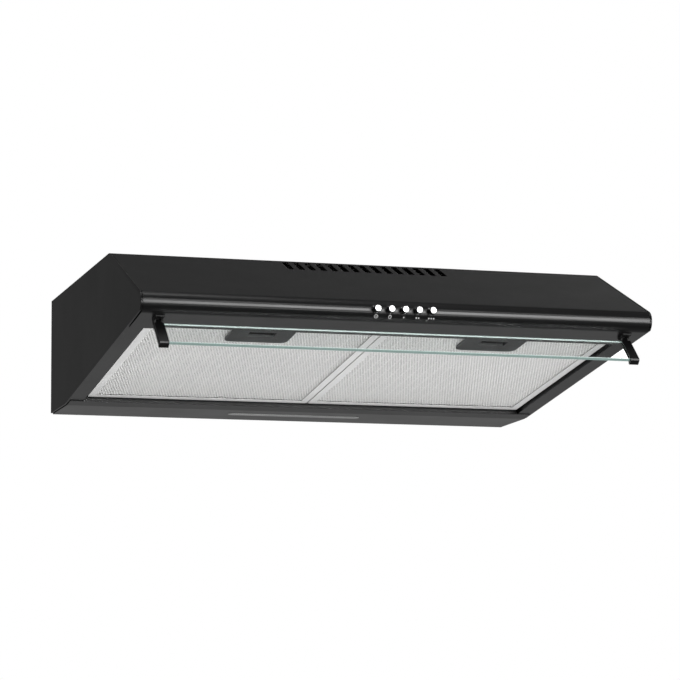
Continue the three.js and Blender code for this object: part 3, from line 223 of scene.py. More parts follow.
class Effects:
    """Builds each shared effect once and places it in a material."""

    def __init__(self) -> None:
        """Starts with nothing built."""
        self.built: dict[Effect, bpy.types.NodeTree] = {}

    def place(self, tree: Tree, effect: Effect, **inputs: Value) -> bpy.types.Node:
        """Places an effect in a material.

        Args:
            tree: the material's tree.
            effect: which effect.
            inputs: values for the group's inputs.

        Returns:
            The group node.
        """
        if effect not in self.built:
            self.built[effect] = getattr(self, f"make_{effect.name.lower()}")()
        made = tree.node("ShaderNodeGroup")
        made.node_tree = self.built[effect]
        for name, value in inputs.items():
            tree.put(made.inputs[name.replace("_", " ").capitalize()], value)
        return made

    def make_grain(self) -> bpy.types.NodeTree:
        """A fine grain: soft lumps with a finer grain on them, as a height from 0 to 1."""
        tree, given, result = new_group(
            Effect.GRAIN.value,
            "ShaderNodeTree",
            {"Scale": ("float", 900.0), "Fine share": ("float", 0.3)},
            {"Height": "float"},
        )
        place = tree.place()
        lumps = tree.noise(place, given.outputs["Scale"], 1.0)
        fine = tree.noise(place, tree.math("MULTIPLY", given.outputs["Scale"], 3.1), 2.0)
        share = tree.math("MULTIPLY", fine, given.outputs["Fine share"])
        tree.put(result.inputs["Height"], tree.math("ADD", lumps, share))
        return tree.tree

    def make_smudge(self) -> bpy.types.NodeTree:
        """Soft patches that run from a low to a high value."""
        tree, given, result = new_group(
            Effect.SMUDGE.value,
            "ShaderNodeTree",
            {"Scale": ("float", 9.0), "Low": ("float", 0.3), "High": ("float", 0.5)},
            {"Value": "float", "Mask": "float"},
        )
        wide = tree.node(
            "ShaderNodeTexNoise",
            {
                "Vector": tree.place(),
                "Scale": given.outputs["Scale"],
                "Detail": 5.0,
                "Roughness": 0.62,
            },
        )
        mask = tree.spread(wide.outputs["Fac"], (0.32, 0.68), (0.0, 1.0))
        ends = (given.outputs["Low"], given.outputs["High"])
        tree.put(result.inputs["Value"], tree.spread(mask, (0.0, 1.0), ends))
        tree.put(result.inputs["Mask"], mask)
        return tree.tree

    def make_streak(self) -> bpy.types.NodeTree:
        """Fine lines along X, as a rolled sheet has."""
        tree, given, result = new_group(
            Effect.STREAK.value,
            "ShaderNodeTree",
            {"Stretch": ("vector", (4.0, 900.0, 900.0)), "Turn": ("float", 0.0)},
            {"Height": "float"},
        )
        turn = tree.node("ShaderNodeCombineXYZ", {"Z": given.outputs["Turn"]}).outputs[0]
        laid = tree.node(
            "ShaderNodeMapping",
            {"Vector": tree.place(), "Rotation": turn, "Scale": given.outputs["Stretch"]},
        )
        tree.put(result.inputs["Height"], tree.noise(laid.outputs[0], 1.0, 4.0))
        return tree.tree

    def make_wear(self) -> bpy.types.NodeTree:
        """Rubbed edges: a rounded normal, and a patchy mask where it leaves the flat one."""
        tree, given, result = new_group(
            Effect.WEAR.value,
            "ShaderNodeTree",
            {"Radius": ("float", 0.0005), "Amount": ("float", 0.5)},
            {"Mask": "float", "Normal": "vector"},
        )
        rounded = tree.node("ShaderNodeBevel", {"Radius": given.outputs["Radius"]}, samples=4)
        flat = tree.node("ShaderNodeNewGeometry")
        likeness = tree.node(
            "ShaderNodeVectorMath",
            {0: rounded.outputs["Normal"], 1: flat.outputs["Normal"]},
            operation="DOT_PRODUCT",
        ).outputs["Value"]
        edge = tree.spread(likeness, (0.995, 0.86), (0.0, 1.0))
        broken = tree.math("MULTIPLY", edge, tree.noise(tree.place(), 120.0, 3.0))
        tree.put(result.inputs["Mask"], tree.math("MULTIPLY", broken, given.outputs["Amount"]))
        tree.put(result.inputs["Normal"], rounded.outputs["Normal"])
        return tree.tree

    def make_dust(self) -> bpy.types.NodeTree:
        """A thin film of dust in fine specks, as a mask."""
        tree, given, result = new_group(
            Effect.DUST.value,
            "ShaderNodeTree",
            {"Amount": ("float", 0.1)},
            {"Mask": "float"},
        )
        place = tree.place()
        film, specks = tree.noise(place, 26.0, 6.0), tree.noise(place, 2600.0, 1.0)
        cover = tree.math("MULTIPLY", film, specks)
        tree.put(result.inputs["Mask"], tree.math("MULTIPLY", cover, given.outputs["Amount"]))
        return tree.tree


EFFECTS = Effects()


# ---------------------------------------------------------------- finishes

Colour = tuple[float, float, float]


def rgba(colour: Colour) -> tuple[float, float, float, float]:
    """The colour with full alpha."""
    return (*colour, 1.0)


def mixed(tree: Tree, mask: Value, first: Colour, second: Colour) -> bpy.types.NodeSocket:
    """Mixes two colours by a mask.

    Args:
        tree: the material's tree.
        mask: 0 gives the first colour, 1 the second.
        first: first colour.
        second: second colour.

    Returns:
        The mixed colour.
    """
    made = tree.node("ShaderNodeMix", {0: mask, 6: rgba(first), 7: rgba(second)}, data_type="RGBA")
    return made.outputs[2]


def bumped(
    tree: Tree, height: Value, distance: float, strength: float, normal: Value | None = None
) -> bpy.types.NodeSocket:
    """Turns a height into a normal.

    Args:
        tree: the material's tree.
        height: the height, 0 to 1.
        distance: its depth in metres.
        strength: how much of it shows.
        normal: a normal to start from.

    Returns:
        The normal.
    """
    inputs: dict[Union[str, int], Value] = {
        "Height": height,
        "Distance": distance,
        "Strength": strength,
    }
    if normal is not None:
        inputs["Normal"] = normal
    return tree.node("ShaderNodeBump", inputs).outputs["Normal"]


def roughened(
    tree: Tree, shader: bpy.types.Node, scale: float, low: float, high: float
) -> bpy.types.NodeSocket:
    """Makes a shader's roughness vary in soft patches.

    Args:
        tree: the material's tree.
        shader: its main shader.
        scale: how small the patches are.
        low: the least roughness.
        high: the most.

    Returns:
        The patches' mask.
    """
    smudge = EFFECTS.place(tree, Effect.SMUDGE, scale=scale, low=low, high=high)
    tree.put(shader.inputs["Roughness"], smudge.outputs["Value"])
    return smudge.outputs["Mask"]


def shaded(colour: Colour, gain: float, lift: float = 0.0) -> Colour:
    """A lighter or darker shade of a colour.

    Args:
        colour: the colour.
        gain: what it is multiplied by.
        lift: what is added.

    Returns:
        The shade, kept to 1.
    """
    return tuple(min(1.0, gain * part + lift) for part in colour)


@dataclass(frozen=True)
class Finish:
    """A finish: its name, colour, roughness and slot. Each kind adds its own surface."""

    name: str
    colour: Colour
    roughness: float = 0.5
    slot: str = "black_paint"

    def material(self) -> bpy.types.Material:
        """The finish's material, made once."""
        made = bpy.data.materials.get(self.name)
        if made is None:
            made = bpy.data.materials.new(self.name)
            made.use_nodes = True
            tree = Tree(made.node_tree)
            shader = made.node_tree.nodes["Principled BSDF"]
            shader.inputs["Base Color"].default_value = rgba(self.colour)
            shader.inputs["Roughness"].default_value = self.roughness
            self.dress(tree, shader)
        return made

    def dress(self, tree: Tree, shader: bpy.types.Node) -> None:
        """Adds what is particular to this finish.

        Args:
            tree: the material's tree.
            shader: its main shader.
        """
        raise NotImplementedError


@dataclass(frozen=True)
class PowderCoat(Finish):
    """Baked powder coat: satin, with faint orange peel, wiping marks and rubbed edges."""

    spread: float = 0.025
    peel: float = 0.1

    def dress(self, tree: Tree, shader: bpy.types.Node) -> None:
        """Adds the peel, the wiping marks and the rubbed edges."""
        wear = EFFECTS.place(tree, Effect.WEAR, radius=0.0004, amount=0.1)
        least, most = self.roughness - self.spread, self.roughness + self.spread
        roughened(tree, shader, 11.0, least, most)
        dust = EFFECTS.place(tree, Effect.DUST, amount=0.04)
        shade = tree.math("ADD", wear.outputs["Mask"], dust.outputs["Mask"])
        rubbed = shaded(self.colour, 6.0, 0.02)
        tree.put(shader.inputs["Base Color"], mixed(tree, shade, self.colour, rubbed))
        grain = EFFECTS.place(tree, Effect.GRAIN, scale=520.0, fine_share=0.25)
        peel = bumped(tree, grain.outputs["Height"], 0.00012, self.peel, wear.outputs["Normal"])
        tree.put(shader.inputs["Normal"], peel)


@dataclass(frozen=True)
class RolledMetal(Finish):
    """Sheet metal with rolling streaks along X, patches of handling and soft edges."""

    metallic: float = 1.0
    streak: float = 0.25
    turn: float = 0.0
    dull: Colour = (0.5, 0.5, 0.5)
    spread: float = 0.08

    def dress(self, tree: Tree, shader: bpy.types.Node) -> None:
        """Adds the streaks and the patches."""
        shader.inputs["Metallic"].default_value = self.metallic
        wear = EFFECTS.place(tree, Effect.WEAR, radius=0.0004, amount=0.6)
        streak = EFFECTS.place(tree, Effect.STREAK, turn=self.turn)
        least, most = self.roughness - self.spread, self.roughness + self.spread
        patch = tree.math("MULTIPLY", roughened(tree, shader, 14.0, least, most), 0.35)
        tree.put(shader.inputs["Base Color"], mixed(tree, patch, self.colour, self.dull))
        lines = bumped(
            tree, streak.outputs["Height"], 0.00006, self.streak, wear.outputs["Normal"]
        )
        tree.put(shader.inputs["Normal"], lines)


@dataclass(frozen=True)
class Spangled(Finish):
    """Galvanised steel: flat crystals of slightly different brightness."""

    def dress(self, tree: Tree, shader: bpy.types.Node) -> None:
        """Adds the crystals."""
        shader.inputs["Metallic"].default_value = 1.0
        crystal = tree.node("ShaderNodeTexVoronoi", {"Vector": tree.place(), "Scale": 240.0})
        tone = tree.node("ShaderNodeSeparateColor", {0: crystal.outputs["Color"]}).outputs[0]
        dark = shaded(self.colour, 0.7)
        tree.put(shader.inputs["Base Color"], mixed(tree, tone, dark, self.colour))
        wear = EFFECTS.place(tree, Effect.WEAR, radius=0.0003, amount=0.4)
        rough = (self.roughness - 0.07, self.roughness + 0.1)
        tree.put(shader.inputs["Roughness"], tree.spread(tone, (0.0, 1.0), rough))
        tree.put(shader.inputs["Normal"], bumped(tree, tone, 0.00005, 0.2, wear.outputs["Normal"]))


@dataclass(frozen=True)
class MouldedPlastic(Finish):
    """Moulded plastic with a spark-eroded grain, softened edges and a little dust."""

    grain_scale: float = 1500.0
    grain: float = 0.25
    edge: float = 0.0004
    wear: float = 0.3

    def dress(self, tree: Tree, shader: bpy.types.Node) -> None:
        """Adds the grain, the dust and the softened edges."""
        wear = EFFECTS.place(tree, Effect.WEAR, radius=self.edge, amount=self.wear)
        grain = EFFECTS.place(tree, Effect.GRAIN, scale=self.grain_scale, fine_share=0.5)
        dust = EFFECTS.place(tree, Effect.DUST, amount=0.12)
        roughened(tree, shader, 40.0, self.roughness - 0.06, self.roughness + 0.06)
        pale = shaded(self.colour, 1.6, 0.05)
        shade = tree.math("ADD", wear.outputs["Mask"], dust.outputs["Mask"])
        tree.put(shader.inputs["Base Color"], mixed(tree, shade, self.colour, pale))
        skin = bumped(tree, grain.outputs["Height"], 0.00008, self.grain, wear.outputs["Normal"])
        tree.put(shader.inputs["Normal"], skin)


@dataclass(frozen=True)
class Plated(Finish):
    """Bright plating with a faint grain and finger marks."""

    grain_scale: float = 900.0

    def dress(self, tree: Tree, shader: bpy.types.Node) -> None:
        """Adds the grain and the finger marks."""
        shader.inputs["Metallic"].default_value = 1.0
        marks = roughened(tree, shader, 260.0, self.roughness - 0.04, self.roughness + 0.1)
        tint = shaded(self.colour, 0.88)
        tree.put(shader.inputs["Base Color"], mixed(tree, marks, self.colour, tint))
        grain = EFFECTS.place(tree, Effect.GRAIN, scale=self.grain_scale, fine_share=0.2)
        tree.put(shader.inputs["Normal"], bumped(tree, grain.outputs["Height"], 0.00003, 0.15))


@dataclass(frozen=True)
class ClearPane(Finish):
    """Clear float glass, faintly green, with a film of wiping marks."""

    def dress(self, tree: Tree, shader: bpy.types.Node) -> None:
        """Adds the film."""
        shader.inputs["Transmission Weight"].default_value = 1.0
        shader.inputs["IOR"].default_value = 1.45
        roughened(tree, shader, 18.0, 0.0, 0.03)


@dataclass(frozen=True)
class GroundEdge(Finish):
    """The pane's ground edge: satin, with an emission glow, painted light that stands in for the
    light the glass carries.
    """

    glow: float = 0.3

    def dress(self, tree: Tree, shader: bpy.types.Node) -> None:
        """Adds the grinding marks and the painted glow."""
        streak = EFFECTS.place(tree, Effect.STREAK, stretch=(900.0, 60.0, 60.0))
        tone = mixed(tree, streak.outputs["Height"], shaded(self.colour, 0.72), self.colour)
        tree.put(shader.inputs["Base Color"], tone)
        # Emission in the edge's own tone: a painted glow for the light the glass would carry to it
        tree.put(shader.inputs["Emission Color"], tone)
        shader.inputs["Emission Strength"].default_value = self.glow
        tree.put(shader.inputs["Normal"], bumped(tree, streak.outputs["Height"], 0.00005, 0.3))


@dataclass(frozen=True)
class Diffuser(Finish):
    """The lamp's opal lens, with fine prisms across it."""

    prisms: float = 130.0

    def dress(self, tree: Tree, shader: bpy.types.Node) -> None:
        """Adds the prisms with a little depth, their grooves painted darker as painted shade."""
        wave = tree.node(
            "ShaderNodeTexWave",
            {"Vector": tree.place(), "Scale": self.prisms, "Distortion": 0.0},
            bands_direction="X",
        )
        roughened(tree, shader, 60.0, self.roughness - 0.05, self.roughness + 0.08)
        # The grooves between the prisms are painted a shade darker: painted shade
        groove_shade = shaded(self.colour, 0.86)
        tree.put(shader.inputs["Base Color"], mixed(tree, wave.outputs["Fac"], groove_shade, self.colour))
        tree.put(shader.inputs["Normal"], bumped(tree, wave.outputs["Fac"], 0.00015, 0.4))


@dataclass(frozen=True)
class Ink(Finish):
    """Screen-printed ink, slightly uneven."""

    def dress(self, tree: Tree, shader: bpy.types.Node) -> None:
        """Adds the unevenness."""
        grain = EFFECTS.place(tree, Effect.GRAIN, scale=3000.0, fine_share=0.4)
        uneven = mixed(tree, grain.outputs["Height"], shaded(self.colour, 0.8), self.colour)
        tree.put(shader.inputs["Base Color"], uneven)
        tree.put(shader.inputs["Normal"], bumped(tree, grain.outputs["Height"], 0.00002, 0.2))


BLACK_COAT = PowderCoat("black powder coat", (0.006, 0.006, 0.0063), 0.3, "black_paint")
PRIMER = MouldedPlastic(
    "matt inner primer", (0.002, 0.002, 0.002), 0.85, "black_paint", grain=0.1, wear=0.0
)
FILTER_BORDER = RolledMetal(
    "filter border aluminium",
    (0.66, 0.66, 0.655),
    0.4,
    "aluminium",
    metallic=0.5,
    dull=(0.58, 0.58, 0.58),
)
FILTER_STRAND = RolledMetal(
    "expanded aluminium",
    (0.94, 0.94, 0.93),
    0.5,
    "aluminium",
    metallic=0.3,
    streak=0.1,
    dull=(0.82, 0.82, 0.81),
)
# The pleated core is aluminium coloured darker than the strands: painted shade for the openings of
# the mesh in front of it
FILTER_CORE_SHADE = RolledMetal(
    "pleated aluminium", (0.6, 0.6, 0.59), 0.5, "aluminium", metallic=0.5, dull=(0.45, 0.45, 0.44)
)
ZINC = Spangled("zinc plated steel", (0.62, 0.64, 0.66), 0.36, "zinc_steel")
BLACKENED = Spangled("blackened steel", (0.03, 0.03, 0.032), 0.48, "zinc_steel")
GLOSS_BLACK = MouldedPlastic(
    "gloss black plastic", (0.003, 0.003, 0.0032), 0.38, "black_plastic", grain=0.06, wear=0.0
)
SATIN_BLACK = MouldedPlastic("satin black plastic", (0.014, 0.014, 0.014), 0.45, "black_plastic")
HANDLE_GREY = MouldedPlastic("handle grey plastic", (0.15, 0.153, 0.154), 0.5, "grey_plastic")
FAN_GREY = MouldedPlastic("fan grey plastic", (0.09, 0.092, 0.095), 0.5, "grey_plastic")
OFF_WHITE = MouldedPlastic("off-white plastic", (0.62, 0.62, 0.59), 0.5, "white_plastic")
CAPACITOR_WHITE = MouldedPlastic("capacitor white", (0.7, 0.7, 0.69), 0.4, "white_plastic")
MATT_BLACK = MouldedPlastic(
    "matt black plastic", (0.004, 0.004, 0.004), 0.6, "black_plastic", grain=0.1, wear=0.0
)
LATCH_GREY = MouldedPlastic("latch dark grey", (0.012, 0.012, 0.0125), 0.55, "grey_plastic")
# The chrome buttons' barrels and rounded edges are painted near black: a painted dark reflection of
# the chrome side
BARREL_DARK_REFLECTION = MouldedPlastic(
    "button barrel black", (0.003, 0.003, 0.003), 0.35, "chrome", grain=0.05, wear=0.05
)
BRIGHT = Plated("bright plating", (0.78, 0.78, 0.78), 0.34, "chrome")
PANE = ClearPane("clear pane", (0.965, 0.985, 0.978), 0.0, "clear_glass")
# The ground edge finishes glow with emission, painted light for the light the glass carries; the
# arris is the brightest, a painted highlight line
PANE_ARRIS_HIGHLIGHT = GroundEdge("ground arris", (0.6, 0.74, 0.7), 0.4, "clear_glass", glow=0.22)
PANE_TOP = GroundEdge("ground upper edge", (0.42, 0.5, 0.48), 0.4, "clear_glass", glow=0.16)
PANE_EDGE = GroundEdge("ground lower edge", (0.36, 0.5, 0.47), 0.35, "clear_glass", glow=0.18)
OPAL = Diffuser("opal lens", (0.86, 0.87, 0.86), 0.34, "lens")
BOARD = Ink("white lamp board", (0.8, 0.82, 0.79), 0.55, "board")
LEGEND = Ink("white legend ink", (0.9, 0.9, 0.9), 0.5, "black_paint")


# ---------------------------------------------------------------- pieces


def enter(mesh: bpy.types.Mesh, name: str) -> bpy.types.Object:
    """Puts a mesh in the scene as an object at the origin.

    Args:
        mesh: the mesh, already in the frame's axes.
        name: the piece's name.

    Returns:
        The object.
    """
    made = bpy.data.objects.new(name, mesh)
    bpy.context.scene.collection.objects.link(made)
    return made


def closed_mesh(work: bmesh.types.BMesh, name: str) -> bpy.types.Mesh:
    """Turns the faces of a shape outwards and makes it a mesh.

    Args:
        work: the shape being made, which is used up.
        name: the mesh's name.

    Returns:
        The mesh.
    """
    bmesh.ops.recalc_face_normals(work, faces=work.faces)
    mesh = bpy.data.meshes.new(name)
    work.to_mesh(mesh)
    work.free()
    return mesh


def settle(piece: bpy.types.Object) -> bpy.types.Object:
    """Replaces a piece's mesh by what its modifiers make of it, and removes them.

    Args:
        piece: the piece.

    Returns:
        The same piece.
    """
    bpy.context.view_layer.update()
    evaluated = piece.evaluated_get(bpy.context.evaluated_depsgraph_get())
    final = bpy.data.meshes.new_from_object(evaluated)
    piece.modifiers.clear()
    piece.data = final
    return piece


def smooth(piece: bpy.types.Object, angle: float = 28.0) -> None:
    """Shades a piece smooth, except at edges sharper than an angle, with flat faces kept flat.

    Args:
        piece: the piece.
        angle: in degrees.
    """
    piece.data.polygons.foreach_set("use_smooth", [True] * len(piece.data.polygons))
    piece.data.set_sharp_from_angle(angle=math.radians(angle))
    weighted = piece.modifiers.new("even shading", "WEIGHTED_NORMAL")
    weighted.keep_sharp = True
    weighted.weight = FACE_WEIGHT


def finished_copy(
    node: str, finish: Finish, round_edges: float = 0.0, angle: float = 28.0
) -> bpy.types.Object:
    """A merged, smoothly shaded copy of a CAD node that takes its place.

    Args:
        node: the CAD node.
        finish: its finish.
        round_edges: radius of its rounded edges in metres, or 0 for none.
        angle: edges sharper than this stay sharp, in degrees.

    Returns:
        The new piece, riding on the node's body.
    """
    source = frame["nodes"][node]
    work = bmesh.new()
    work.from_mesh(source.data)
    bmesh.ops.remove_doubles(work, verts=work.verts, dist=MERGE_WITHIN)
    if round_edges > 0.0:
        edges = work.edges
        bmesh.ops.dissolve_limit(work, angle_limit=FLAT_WITHIN, verts=work.verts, edges=edges)
    mesh = bpy.data.meshes.new(f"{node}_finished")
    work.to_mesh(mesh)
    work.free()
    piece = enter(mesh, f"{node}_finished")
    mesh.materials.clear()
    mesh.materials.append(finish.material())
    if round_edges > 0.0:
        bevel = piece.modifiers.new("rounded edges", "BEVEL")
        bevel.width = round_edges
        bevel.segments = 2
        bevel.limit_method = "ANGLE"
        bevel.angle_limit = ROUNDED_OVER
        bevel.use_clamp_overlap = True
        settle(piece)
    smooth(piece, angle)
    settle(piece)
    return mounted(piece, node_body(node), finish, node)


BODY_NAMES = {empty.name: body for body, empty in frame["bodies"].items()}


def node_body(node: str) -> str:
    """The body that a CAD node rides on."""
    return BODY_NAMES[frame["nodes"][node].parent.name]


def mounted(piece: bpy.types.Object, body: str, finish: Finish, *nodes: str) -> bpy.types.Object:
    """Rides a piece on its body, and hides the nodes that it stands for.

    Args:
        piece: the piece.
        body: the CAD body.
        finish: its finish, which is named in the log.
        nodes: the CAD nodes that it replaces.

    Returns:
        The same piece.
    """
    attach(piece, body)
    if nodes:
        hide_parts(*nodes)
    log.info("%s rides on %s in %s", piece.name, body, finish.name)
    return piece


def coat(finish: Finish, *nodes: str) -> None:
    """Gives CAD nodes that keep their own mesh a finish.

    Args:
        finish: the finish.
        nodes: the CAD nodes.
    """
    for node in nodes:
        shown = frame["nodes"][node]
        if not shown.material_slots:
            shown.data.materials.append(finish.material())
        for each in shown.material_slots:
            each.material = finish.material()
        log.info("%s keeps its mesh in %s", node, finish.name)


def solid_mesh(
    name: str, points: Sequence[Sequence[float]], faces: Sequence[Sequence[int]], place: Matrix
) -> bpy.types.Mesh:
    """A mesh from points in millimetres.

    Args:
        name: its name.
        points: its corners in a local frame.
        faces: its faces.
        place: from the local frame, in metres, to the hood's frame.

    Returns:
        The mesh, with its faces turned outwards.
    """
    work = bmesh.new()
    corners = [work.verts.new(place @ (Vector(point) * MM)) for point in points]
    for face in faces:
        work.faces.new([corners[i] for i in face])
    return closed_mesh(work, name)


def prism(
    outline: Sequence[tuple[float, float]], levels: Sequence[tuple[float, float]]
) -> tuple[list[tuple[float, float, float]], list[list[int]]]:
    """Stacks an outline at several heights, moved inwards a little at some of them.

    Args:
        outline: corners in X and Y, anticlockwise, in millimetres.
        levels: for each layer its height and how far it is moved inwards.

    Returns:
        Points and faces of a closed solid.
    """
    count = len(outline)
    points: list[tuple[float, float, float]] = []
    for height, inset in levels:
        for i, (x, y) in enumerate(outline):
            before, after = outline[i - 1], outline[(i + 1) % count]
            along = Vector((after[0] - before[0], after[1] - before[1])).normalized()
            points.append((x - along.y * inset, y + along.x * inset, height))
    faces = [list(range(count))[::-1], [count * (len(levels) - 1) + i for i in range(count)]]
    for layer in range(len(levels) - 1):
        for i in range(count):
            j = (i + 1) % count
            low, high = layer * count, (layer + 1) * count
            faces.append([low + i, low + j, high + j, high + i])
    return points, faces


def rounded_outline(
    x0: float, y0: float, x1: float, y1: float, radius: float, steps: int = 6
) -> list[tuple[float, float]]:
    """A rectangle with rounded corners, anticlockwise.

    Args:
        x0: left.
        y0: front.
        x1: right.
        y1: rear.
        radius: of its corners.
        steps: segments in each corner.

    Returns:
        Its corners in X and Y.
    """
    centres = [
        (x1 - radius, y1 - radius, 0.0),
        (x0 + radius, y1 - radius, 90.0),
        (x0 + radius, y0 + radius, 180.0),
        (x1 - radius, y0 + radius, 270.0),
    ]
    outline = []
    for cx, cy, start in centres:
        for i in range(steps + 1):
            angle = math.radians(start + 90.0 * i / steps)
            outline.append((cx + radius * math.cos(angle), cy + radius * math.sin(angle)))
    return outline


# ---------------------------------------------------------------- things that repeat


class Repeated(Enum):
    """Shapes that are set out many times by geometry nodes."""

    RING = "ring"
    RIB = "rib"


def repeat_tree(shape: Repeated) -> bpy.types.NodeTree:
    """A geometry tree that sets one shape at every point of its mesh.

    Args:
        shape: which shape.

    Returns:
        The tree. A ring has a radius and a section, a rib has a size.
    """
    name = f"set out {shape.value}s"
    found = bpy.data.node_groups.get(name)
    if found:
        return found
    tree, given, result = new_group(
        name,
        "GeometryNodeTree",
        {
            "Geometry": ("geometry", None),
            "Size": ("vector", (0.001, 0.001, 0.001)),
            "Turn": ("vector", (0.0, 0.0, 0.0)),
            "Material": ("material", None),
        },
        {"Geometry": "geometry"},
    )
    if shape is Repeated.RING:
        parts = tree.node("ShaderNodeSeparateXYZ", {0: given.outputs["Size"]}).outputs
        path = tree.node("GeometryNodeCurvePrimitiveCircle", {"Resolution": 40, "Radius": parts[0]})
        section = tree.node(
            "GeometryNodeCurvePrimitiveCircle", {"Resolution": 10, "Radius": parts[1]}
        )
        made = tree.node("GeometryNodeCurveToMesh", {0: path.outputs[0]})
        tree.put(made.inputs["Profile Curve"], section.outputs[0])
        smooth_ring = tree.node("GeometryNodeSetShadeSmooth", {0: made.outputs[0]})
        body = smooth_ring.outputs[0]
    else:
        body = tree.node("GeometryNodeMeshCube", {"Size": given.outputs["Size"]}).outputs["Mesh"]
    set_out = tree.node(
        "GeometryNodeInstanceOnPoints",
        {"Points": given.outputs["Geometry"], "Instance": body, "Rotation": given.outputs["Turn"]},
    )
    plain = tree.node("GeometryNodeRealizeInstances", {0: set_out.outputs[0]})
    dressed = tree.node("GeometryNodeSetMaterial", {0: plain.outputs[0]})
    tree.put(dressed.inputs["Material"], given.outputs["Material"])
    tree.put(result.inputs["Geometry"], dressed.outputs[0])
    return tree.tree


def run_tree(
    piece: bpy.types.Object, tree: bpy.types.NodeTree, values: dict[str, Value]
) -> bpy.types.Object:
    """Runs a geometry tree on a piece and keeps the result as its plain mesh.

    Args:
        piece: the piece.
        tree: the tree.
        values: the tree's inputs by name.

    Returns:
        The same piece.
    """
    modifier = piece.modifiers.new(tree.name, "NODES")
    modifier.node_group = tree
    for item in tree.interface.items_tree:
        if item.in_out == "INPUT" and item.name in values:
            modifier[item.identifier] = values[item.name]
    return settle(piece)


def set_out(
    name: str,
    shape: Repeated,
    places: Sequence[Vector],
    size: Sequence[float],
    turn: Sequence[float],
    finish: Finish,
) -> bpy.types.Object:
    """Sets a shape out at many places as one piece.

    Args:
        name: the piece's name.
        shape: which shape.
        places: in metres, in the hood's frame.
        size: of the shape, in metres.
        turn: its rotation about X, Y and Z.
        finish: its finish.

    Returns:
        The piece.
    """
    mesh = bpy.data.meshes.new(name)
    mesh.from_pydata([tuple(place) for place in places], [], [])
    piece = enter(mesh, name)
    values = {"Size": list(size), "Turn": list(turn), "Material": finish.material()}
    return run_tree(piece, repeat_tree(shape), values)


# ---------------------------------------------------------------- the hood's own axes


@dataclass(frozen=True)
class Layout:
    """The hood's main sizes in millimetres, and the frames that lie on its sloping underside."""

    wall_y: float = 30.0
    depth: float = 500.0
    height: float = 143.0
    nose_radius: float = 13.0
    nose_drop: float = 81.0
    strip: float = 88.0
    band: float = 20.0
    filter_x: float = 138.875
    filter_rear: float = 5.0
    filter_recess: float = 5.0
    pivot_setback: float = 26.0
    pivot_drop: float = 5.2
    visor_angle: float = 44.0
    button_pitch: float = 16.2

    @property
    def slope(self) -> float:
        """The underside's angle in radians."""
        rise = self.height - self.nose_drop
        run = self.depth - self.nose_radius - self.strip
        return math.atan2(rise, run) - math.asin(self.nose_radius / math.hypot(rise, run))

    @property
    def nose(self) -> Vector:
        """A point on the nose's centre line."""
        return Vector((0.0, self.wall_y - self.depth + self.nose_radius, -self.nose_drop))

    def underside(self) -> Matrix:
        """The frame of the sloping underside: -Y runs up it towards the nose."""
        drop = -self.height + self.band * math.tan(self.slope)
        origin = Vector((0.0, self.wall_y - self.strip - self.band, drop)) * MM
        return Matrix.Translation(origin) @ Matrix.Rotation(-self.slope, 4, "X")

    def filter(self, side: int) -> Matrix:
        """The frame of one filter, side -1 for the left."""
        place = Vector((side * self.filter_x, -self.filter_rear, self.filter_recess)) * MM
        return self.underside() @ Matrix.Translation(place)

    def visor(self) -> Matrix:
        """The frame of the visor at rest, about its pivot."""
        tilt = math.radians(self.visor_angle) + self.slope
        along = self.depth - self.pivot_setback - self.strip - self.band
        place = Vector((0.0, -along / math.cos(self.slope), -self.pivot_drop)) * MM
        return self.underside() @ Matrix.Translation(place) @ Matrix.Rotation(tilt, 4, "X")

    def button(self, i: int) -> float:
        """The X of a button in millimetres."""
        return (i - 2) * self.button_pitch


LAYOUT = Layout()


# ---------------------------------------------------------------- sub-assemblies


@dataclass
class Shell:
    """The painted sheet body."""

    smooth_nodes: tuple[str, ...] = (
        "front_panel",
        "left_side_panel",
        "right_side_panel",
    )
    inner_tilt: float = 0.9

    def build(self) -> None:
        """Smooths the panels with a rounded nose, and leaves the inside of the top in primer."""
        for node in self.smooth_nodes:
            finished_copy(node, BLACK_COAT)
        top = finished_copy("top_rear_panel", BLACK_COAT)
        top.data.materials.append(PRIMER.material())
        for polygon in top.data.polygons:
            polygon.material_index = 1 if -polygon.normal.z > self.inner_tilt else 0
        coat(BLACK_COAT, "lamp_panel")


